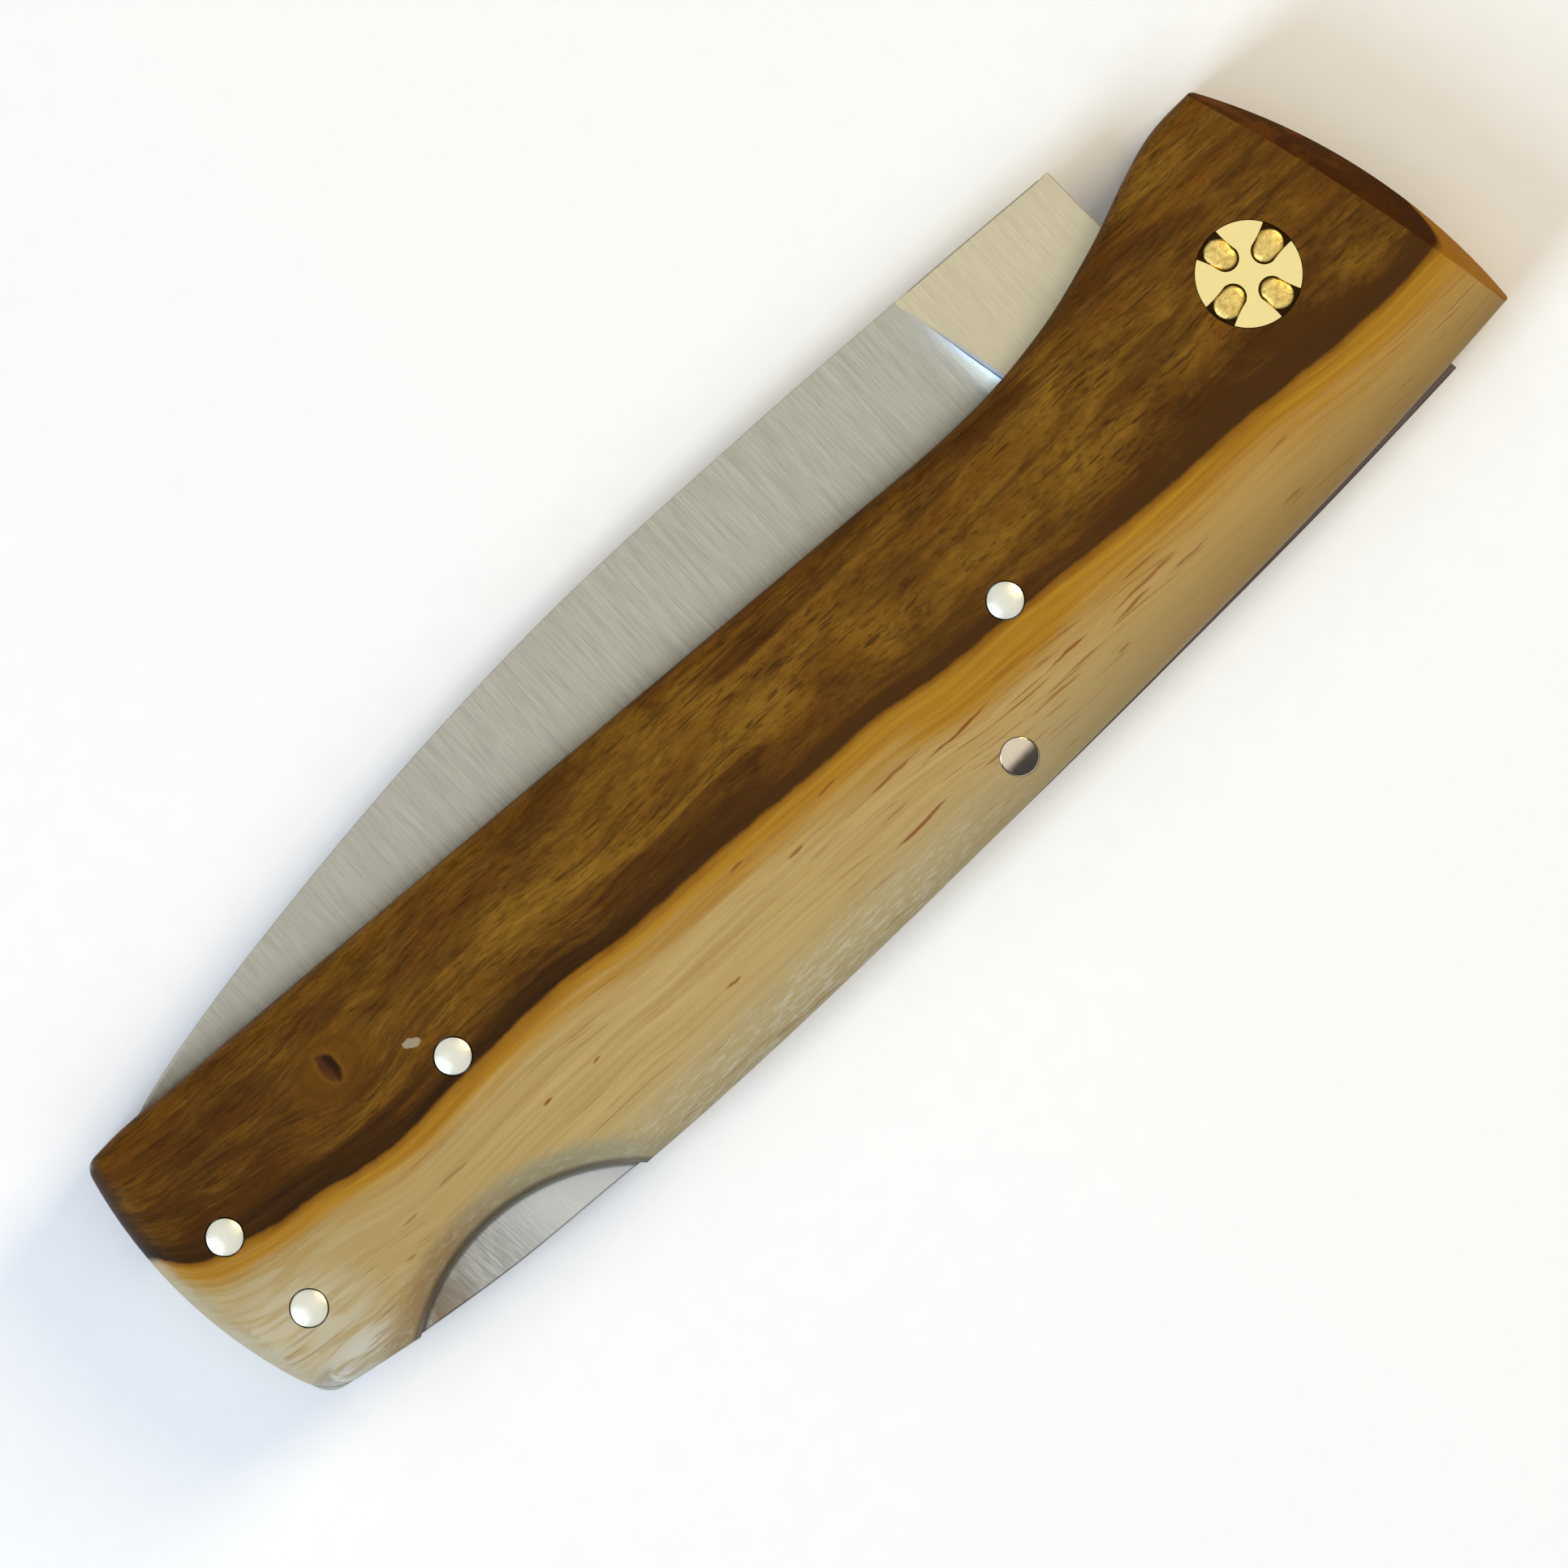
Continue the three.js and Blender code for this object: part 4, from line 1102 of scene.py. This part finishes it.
def rivet_tree():
    """Geometry nodes that put a rivet, its ends eased in two steps, at each point."""
    tree, places, radius, length, ease, metal = new_tree(
        "rivets", "GeometryNodeTree", Places="Geometry", Radius=RIVET_RADIUS,
        Length=2 * WOOD_FACE, Ease=RIVET_EASE, Metal="Material")
    inputs = {"Vertices": 72, "Radius": radius, "Depth": length - ease * 2.0}
    wire = add(tree, "GeometryNodeMeshCylinder", inputs)
    mesh, ends = wire["Mesh"], wire["Top"].most(wire["Bottom"])
    for height_share, width_share in ((0.62, 0.30), (0.38, 0.70)):
        inputs = {"Mesh": mesh, "Selection": ends, "Offset Scale": ease * height_share}
        mesh, ends, _ = mesh.put("GeometryNodeExtrudeMesh", inputs)
        inputs = {"Geometry": mesh, "Selection": ends, "Scale": 1.0 - ease / radius * width_share}
        mesh = mesh.put("GeometryNodeScaleElements", inputs)[0]
    each = mesh.put("GeometryNodeInstanceOnPoints", {"Points": places, "Instance": mesh})[0]
    real = each.put("GeometryNodeRealizeInstances", {0: each})[0]
    rivets = real.put("GeometryNodeSetMaterial", {"Geometry": real, "Material": metal})[0]
    return finished_tree(tree, "Geometry", Rivets=rivets)


def make_rivets_mesh():
    points = bpy.data.meshes.new("rivet places")
    points.from_pydata([(*place, 0) for place in RIVET_PLACES], [], [])
    holder = placed("rivet places", points)
    modifier = holder.modifiers.new("rivets", "NODES")
    modifier.node_group = rivet_tree()
    metal = modifier.node_group.interface.items_tree["Metal"]
    modifier[metal.identifier] = nickel_silver
    mesh = plain_mesh(holder)
    bpy.data.objects.remove(holder)
    return mesh


rivet_nodes = ["scale_pin_front", "scale_pin_rear", "butt_pin_upper", "butt_pin_lower"]
piece("handle_rivets", make_rivets_mesh(), nickel_silver, "handle", rivet_nodes, 50)


def make_dressed_pin_mesh(place):
    """A pin whose ends are dressed to the rounded back of the handle."""
    upper = []
    for share, ease in DRESSED_END:
        spots = circle(PIN_RADIUS * share, place, 72)
        upper.append(raised(spots, wood_height(spots) + WOOD_SINK - ease))
    lower = [ring * (1, 1, -1) for ring in upper[::-1]]
    return stacked_mesh("pin", upper + lower)


piece("lock_rocker_pin", make_dressed_pin_mesh(ROCKER_PIN), rocker_metal, "handle",
      ["rocker_pin"], 50)


# Pivot heads: a flared cross standing between four pockets, with a rough pillow in each

pocket_turn = np.linspace(0.58 * math.pi, 1.42 * math.pi, 24)


def pocket_outline(grow):
    """A pocket's outline before it is turned: round inside, and open at the rim."""
    inner = (POCKET_OFFSET, 0) + (POCKET_RADIUS + grow) * around(pocket_turn)
    x, y = inner[-1]
    bow = np.linspace(0, 1, 10)[1:]
    height = y - (POCKET_MOUTH / 2 + grow + y) * bow + POCKET_BOW * np.sin(math.pi * bow)
    side = np.column_stack([x + bow * (POCKET_END - x), height])
    return np.concatenate([inner, side, side[::-1] * (1, -1)])


def pocket_tool(turn):
    """What is cut away for a pocket, a little wider at the surface to ease its edge."""
    levels = [(-POCKET_DEPTH, 0.0), (-0.02, 0.0), (0.0, 0.02), (1.0, 0.02)]
    rings = [raised(turned(pocket_outline(grow), turn), z) for z, grow in levels]
    return stacked_mesh("pocket", rings)


def pillow_mesh(turn):
    """A low rounded dome that fills most of a pocket, wider towards the rim."""
    inner = around(pocket_turn) * (POCKET_RADIUS - PILLOW_GAP) + (POCKET_OFFSET, 0)
    outer = around(np.linspace(-0.5 * math.pi, 0.5 * math.pi, 24))
    outer = outer * (PILLOW_END - PILLOW_SHOULDER, PILLOW_HALF_WIDTH) + (PILLOW_SHOULDER, 0)
    outline = np.concatenate([inner, outer])
    centre = outline.mean(0)
    rings = []
    for share, height in PILLOW_DOME:
        line = turned(centre + (outline - centre) * share, turn)
        rings.append(raised(line, height - POCKET_DEPTH - 0.02))
    return stacked_mesh("pillow", rings)


def make_head_mesh():
    profile = [(HEAD_RADIUS, -HEAD_SEAT), (HEAD_RADIUS, -0.03), (HEAD_RADIUS - 0.03, 0.0)]
    head = stacked_mesh("head", [raised(circle(radius, sides=160), z) for radius, z in profile])
    turns = [CROSS_TURN + (k + 0.5) * math.pi / 2 for k in range(4)]
    head = cut(head, [pocket_tool(turn) for turn in turns])
    whole = joined("head", [head, *(pillow_mesh(turn) for turn in turns)])
    whole.transform(Matrix.Translation((0, 0, WOOD_FACE)))
    return whole


pair(["front_pivot_cross", "back_pivot_cross"], make_head_mesh(), gold_alloy,
     ["pivot_head_front", "pivot_head_back"], 40)


# Blade

nose_x = turned(SHOULDER, -OPEN_ANGLE)[0]
lug_floor = -(CREST_RADIUS + LUG_GAP)
lug_rear_x = nose_x - NOSE_GAP - LUG_LENGTH
bar_underside = lug_floor - LUG_HEIGHT


def nose_face_x(y):
    """Where the bar's front face stands at a height, just behind the opened blade's shoulder."""
    top_x, top_y = turned(SHOULDER, -OPEN_ANGLE)
    return top_x + (y - top_y) * math.tan(OPEN_ANGLE - math.pi) - NOSE_GAP


def tang_outline():
    """The tang's edge from the shoulder round the pivot to the heel, then up to the spine."""
    drop = (nose_x - ROCKER_PIN[0]) * math.sin(LOCK_DROP)
    floor_y = lug_floor + drop + LOCK_GAP
    rear_x = lug_rear_x - LOCK_GAP
    floor_front = turned((nose_face_x(floor_y) + NOSE_GAP, floor_y), OPEN_ANGLE)
    floor_rear = turned((rear_x, floor_y), OPEN_ANGLE)
    crest_y = -math.sqrt(CREST_RADIUS ** 2 - rear_x ** 2)
    crest_angle = math.atan2(crest_y, rear_x) + OPEN_ANGLE
    rest_end = math.atan2(lug_floor, nose_x)
    angles = np.linspace(crest_angle, math.radians(-100), 90)
    climb = np.maximum(0, (angles - rest_end) / (crest_angle - rest_end))
    crest = (CREST_RADIUS - drop + drop * climb)[:, None] * around(angles)
    kick_y = bar_underside + (KICK_X - ROCKER_PIN[0]) * math.sin(LOCK_DROP) + KICK_GAP
    foot = (KICK_X - 2.6, kick_y + 3.2)
    x = np.linspace(PLUNGE_SPINE_X, SHOULDER[0], 30)[:-1]
    lines = [
        [SHOULDER, (SHOULDER[0], floor_front[1]), floor_rear],
        crest,
        [(KICK_X + KICK_LENGTH, kick_y), (KICK_X, kick_y)],
        bent_line((KICK_X, kick_y), (KICK_X - 1.6, kick_y + 0.4), foot, 9)[1:],
        bent_line(foot, (KICK_X - 4, HEEL[1] - 0.9), (HEEL[0] + 1.2, HEEL[1]), 9)[1:],
        [HEEL],
        np.column_stack([x, at_x(spine, x)]),
    ]
    return np.concatenate(lines)[::-1]


def ground_mesh():
    """The blade beyond the plunge: a run-out, flat ground sides, and a fine cutting bevel."""
    length = PLUNGE_SPINE_X - TIP[0]
    edge_length = HEEL[0] - TIP[0]
    entry = rounding_steps(PLUNGE_WIDTH, 10)
    runs = np.concatenate([[-1.2], entry, np.linspace(PLUNGE_WIDTH, length * 0.992, 180)[1:]])[::-1]
    plan, top = [], []
    for run in runs:
        edge_x = HEEL[0] - run * edge_length / length
        low = np.array([edge_x, HEEL[1] if run < 0 else at_x(cutting_edge, edge_x)])
        high = np.array([PLUNGE_SPINE_X - run, at_x(spine, PLUNGE_SPINE_X - run)])
        width = np.linalg.norm(high - low)
        bevel = min(BEVEL_WIDTH / width, 0.3)
        near_spine = 1 - np.array([0.3, 0.16, 0.06, 0.0]) * min(1, width / 4) / width
        steps = np.concatenate([[0, bevel / 2], np.linspace(bevel, 1 - 0.6 / width, 27), near_spine])
        bow = PLUNGE_BOW * math.exp(-max(run, 0) / 3) * (run > -1)
        plan.append(low + steps[:, None] * (high - low) + np.outer(bow * np.sin(math.pi * steps), (1, 0)))
        spine_half = BLADE_HALF * (1 - SPINE_TAPER * max(0, run / length) ** SPINE_TAPER_POWER)
        bevel_half = min(BEVEL_HALF, spine_half)
        half = bevel_half + (spine_half - bevel_half) * (steps - bevel) / (1 - bevel)
        half = np.where(steps < bevel, EDGE_HALF + (bevel_half - EDGE_HALF) * steps / bevel, half)
        ground = 1 - min(max(1 - run / PLUNGE_WIDTH, 0), 1) ** 2
        reach = np.clip(1 - (1 - steps) * width / SPINE_EASE, 0, 1)
        ease = SPINE_EASE * reach ** 2 * min(1, width / 6)
        top.append(BLADE_HALF + (half - BLADE_HALF) * ground - ease)
    top = np.array(top)
    return slab_mesh("ground", np.array(plan), top, -top)


def make_blade_mesh():
    tang = plate_mesh("tang", tang_outline(), -BLADE_HALF, BLADE_HALF, 0.1)
    whole = cut(tang, [ground_mesh()], "UNION")
    return cut(whole, [rod_mesh(SHAFT_BORE, (0, 0), -3, 3)])


piece("blade_with_tang", make_blade_mesh(), blade_steel, "blade", ["blade"], 30)


# Lock bar

def bar_outline():
    nose = (nose_face_x(BAR_NOSE_Y), BAR_NOSE_Y)
    front = [nose, (nose_face_x(lug_floor), lug_floor), (lug_rear_x, lug_floor),
             (lug_rear_x, bar_underside)]
    reach = math.asin((bar_underside - ROCKER_PIN[1]) / ROCKER_BOSS)
    boss = ROCKER_PIN + ROCKER_BOSS * around(np.linspace(reach, math.pi - reach, 16))
    corner = (BAR_TAIL[0] + BAR_TAIL_TAPER, bar_underside)
    tail = bent_line(boss[-1], corner, (BAR_TAIL[0], BAR_TAIL[1] + BAR_TAIL_DEPTH), 40)[1:]
    back = smooth_line([nose, *BAR_BACK], 180)[::-1]
    return np.concatenate([front, boss, tail, back[:-1]])


bar_plate = plate_mesh("bar", bar_outline(), -BAR_HALF, BAR_HALF, 0.12)
bar_mesh = cut(bar_plate, [rod_mesh(ROCKER_BORE, ROCKER_PIN, -3, 3)])
piece("rocking_lock_bar", bar_mesh, bar_steel, "lock_bar", ["lock_bar"])


# Leaf spring, held in the spacer's slot

def leaf_outline():
    end_y = bar_underside + LEAF_GAP + LEAF_ROOT / 2
    reach = LEAF_END_X - LEAF_FREE_X
    drop = end_y - LEAF_Y
    route = Edge(smooth_line([
        (LEAF_SEAT_X, LEAF_Y), (LEAF_FREE_X, LEAF_Y), (LEAF_FREE_X + 0.31 * reach, LEAF_Y + 0.17 * drop),
        (LEAF_FREE_X + 0.68 * reach, LEAF_Y + 0.62 * drop), (LEAF_END_X - LEAF_END, end_y),
    ]))
    share = np.linspace(0, 1, 80)
    half = (LEAF_ROOT + (LEAF_END - LEAF_ROOT) * share)[:, None] / 2
    end = route.at(1.0)
    side = left_of(end - route.at(0.99))
    turn = np.linspace(-0.5, 0.5, 13)[1:-1, None] * math.pi
    tip = end + LEAF_END / 2 * (np.cos(turn) * side[::-1] * (1, -1) + np.sin(turn) * side)
    return np.concatenate([route.inset(share, -half), tip, route.inset(share, half)[::-1]])


leaf_mesh = plate_mesh("leaf", leaf_outline(), -LEAF_HALF, LEAF_HALF, 0.08)
leaf_bend = ((LEAF_FREE_X, LEAF_Y, 0), (LEAF_END_X - 2, LEAF_Y, 0), "lock_bar")
piece("lock_leaf_spring", leaf_mesh, spring_steel, "handle", ["lock_spring"],
      bend=leaf_bend)


# The pieces inside keep their own meshes and get these finishes
inner_finishes = {
    "butt_spacer": liner_steel, "spacer_bush_front": shaft_steel, "spacer_bush_rear": shaft_steel,
    "pivot_shaft": shaft_steel,
    "pivot_washer_front": washer_bronze, "pivot_washer_back": washer_bronze,
}
for node, finish in inner_finishes.items():
    for material_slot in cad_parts[node].material_slots:
        material_slot.material = finish


# Floor, light and camera

def make_floor():
    """White paper: part of its white is its own, so that the shadow on it stays soft."""
    corners = FLOOR_HALF * np.array([(-1, -1, 0), (1, -1, 0), (1, 1, 0), (-1, 1, 0)])
    mesh = bpy.data.meshes.new("floor")
    mesh.from_pydata(corners.tolist(), [], [(0, 1, 2, 3)])
    constants = {"Roughness": 0.9, "Specular IOR Level": 0.1, "Emission Color": (1, 1, 1, 1)}
    material, _ = new_material("white paper", constants)
    tree = material.node_tree
    ray = add(tree, "ShaderNodeLightPath")
    seen = ray["Is Camera Ray"].most(ray["Is Glossy Ray"]).most(ray["Is Transmission Ray"])
    fibre = add(tree, "ShaderNodeTexCoord")["Object"].noise(PAPER_FIBRE)
    paper = fibre.ramp((0.3, (0.963, 0.963, 0.970, 1)), (0.7, (0.983, 0.983, 0.988, 1)))
    lit = mix(1.0, paper, (*[1 - PAPER_GLOW] * 3, 1), "MULTIPLY")
    inputs = {"Base Color": mix(seen, paper, lit), "Emission Strength": seen * PAPER_GLOW}
    feed(tree.nodes["Principled BSDF"], inputs)
    mesh.materials.append(material)
    placed("paper_floor", mesh)


def make_lamp(name, place, size, power, tone):
    lamp = bpy.data.lights.new(name, "AREA")
    lamp.shape = "RECTANGLE"
    lamp.size, lamp.size_y = size
    lamp.energy = power
    lamp.color = tone
    holder = placed(name, lamp)
    holder.location = place
    x, y, z = place
    holder.rotation_euler = (math.atan2(math.hypot(x, y), z), 0, math.atan2(-y, -x) - math.pi / 2)


def make_world():
    """A dim room with a bright skylight overhead, longer across the knife than along it."""
    world = bpy.data.worlds.new("soft room")
    bpy.context.scene.world = world
    world.use_nodes = True
    tree = world.node_tree
    x, y, z = add(tree, "ShaderNodeTexCoord")["Generated"].parts()
    off = far_from(x, y, (0, 0), 0.46, 0.74).root()
    overhead = off.map(1.1, 0.85) * z.calc("GREATER_THAN", 0.0)
    tone = mix(overhead, (0.075, 0.077, 0.082, 1), (0.96, 0.955, 0.94, 1))
    feed(tree.nodes["Background"], {"Color": tone})


make_floor()
make_lamp("warm window", (0.62, 0.0, 0.62), (0.26, 0.60), 3.8, (1.0, 0.81, 0.47))
make_lamp("cool window", (-0.62, 0.0, 0.62), (0.26, 0.60), 5.3, (0.68, 0.82, 1.0))
make_world()

# The photograph looks straight down, with the knife turned against the frame's width
FRAME_TURN = math.radians(44.3)
FRAME_WIDTH = 0.1159
FRAME_CENTRE = (-0.00268, -0.00374)
CAMERA_DISTANCE = 3.2
camera_data = bpy.data.cameras.new("camera")
camera_data.sensor_width = 36
camera_data.lens = 36 * CAMERA_DISTANCE / FRAME_WIDTH
camera_data.clip_start = 0.1
camera_data.clip_end = 20
camera = placed("camera", camera_data)
camera.location = (*FRAME_CENTRE, CAMERA_DISTANCE + 0.0125)
camera.rotation_euler = (0, 0, -FRAME_TURN)
bpy.context.scene.camera = camera
bpy.context.scene.view_settings.view_transform = "Standard"
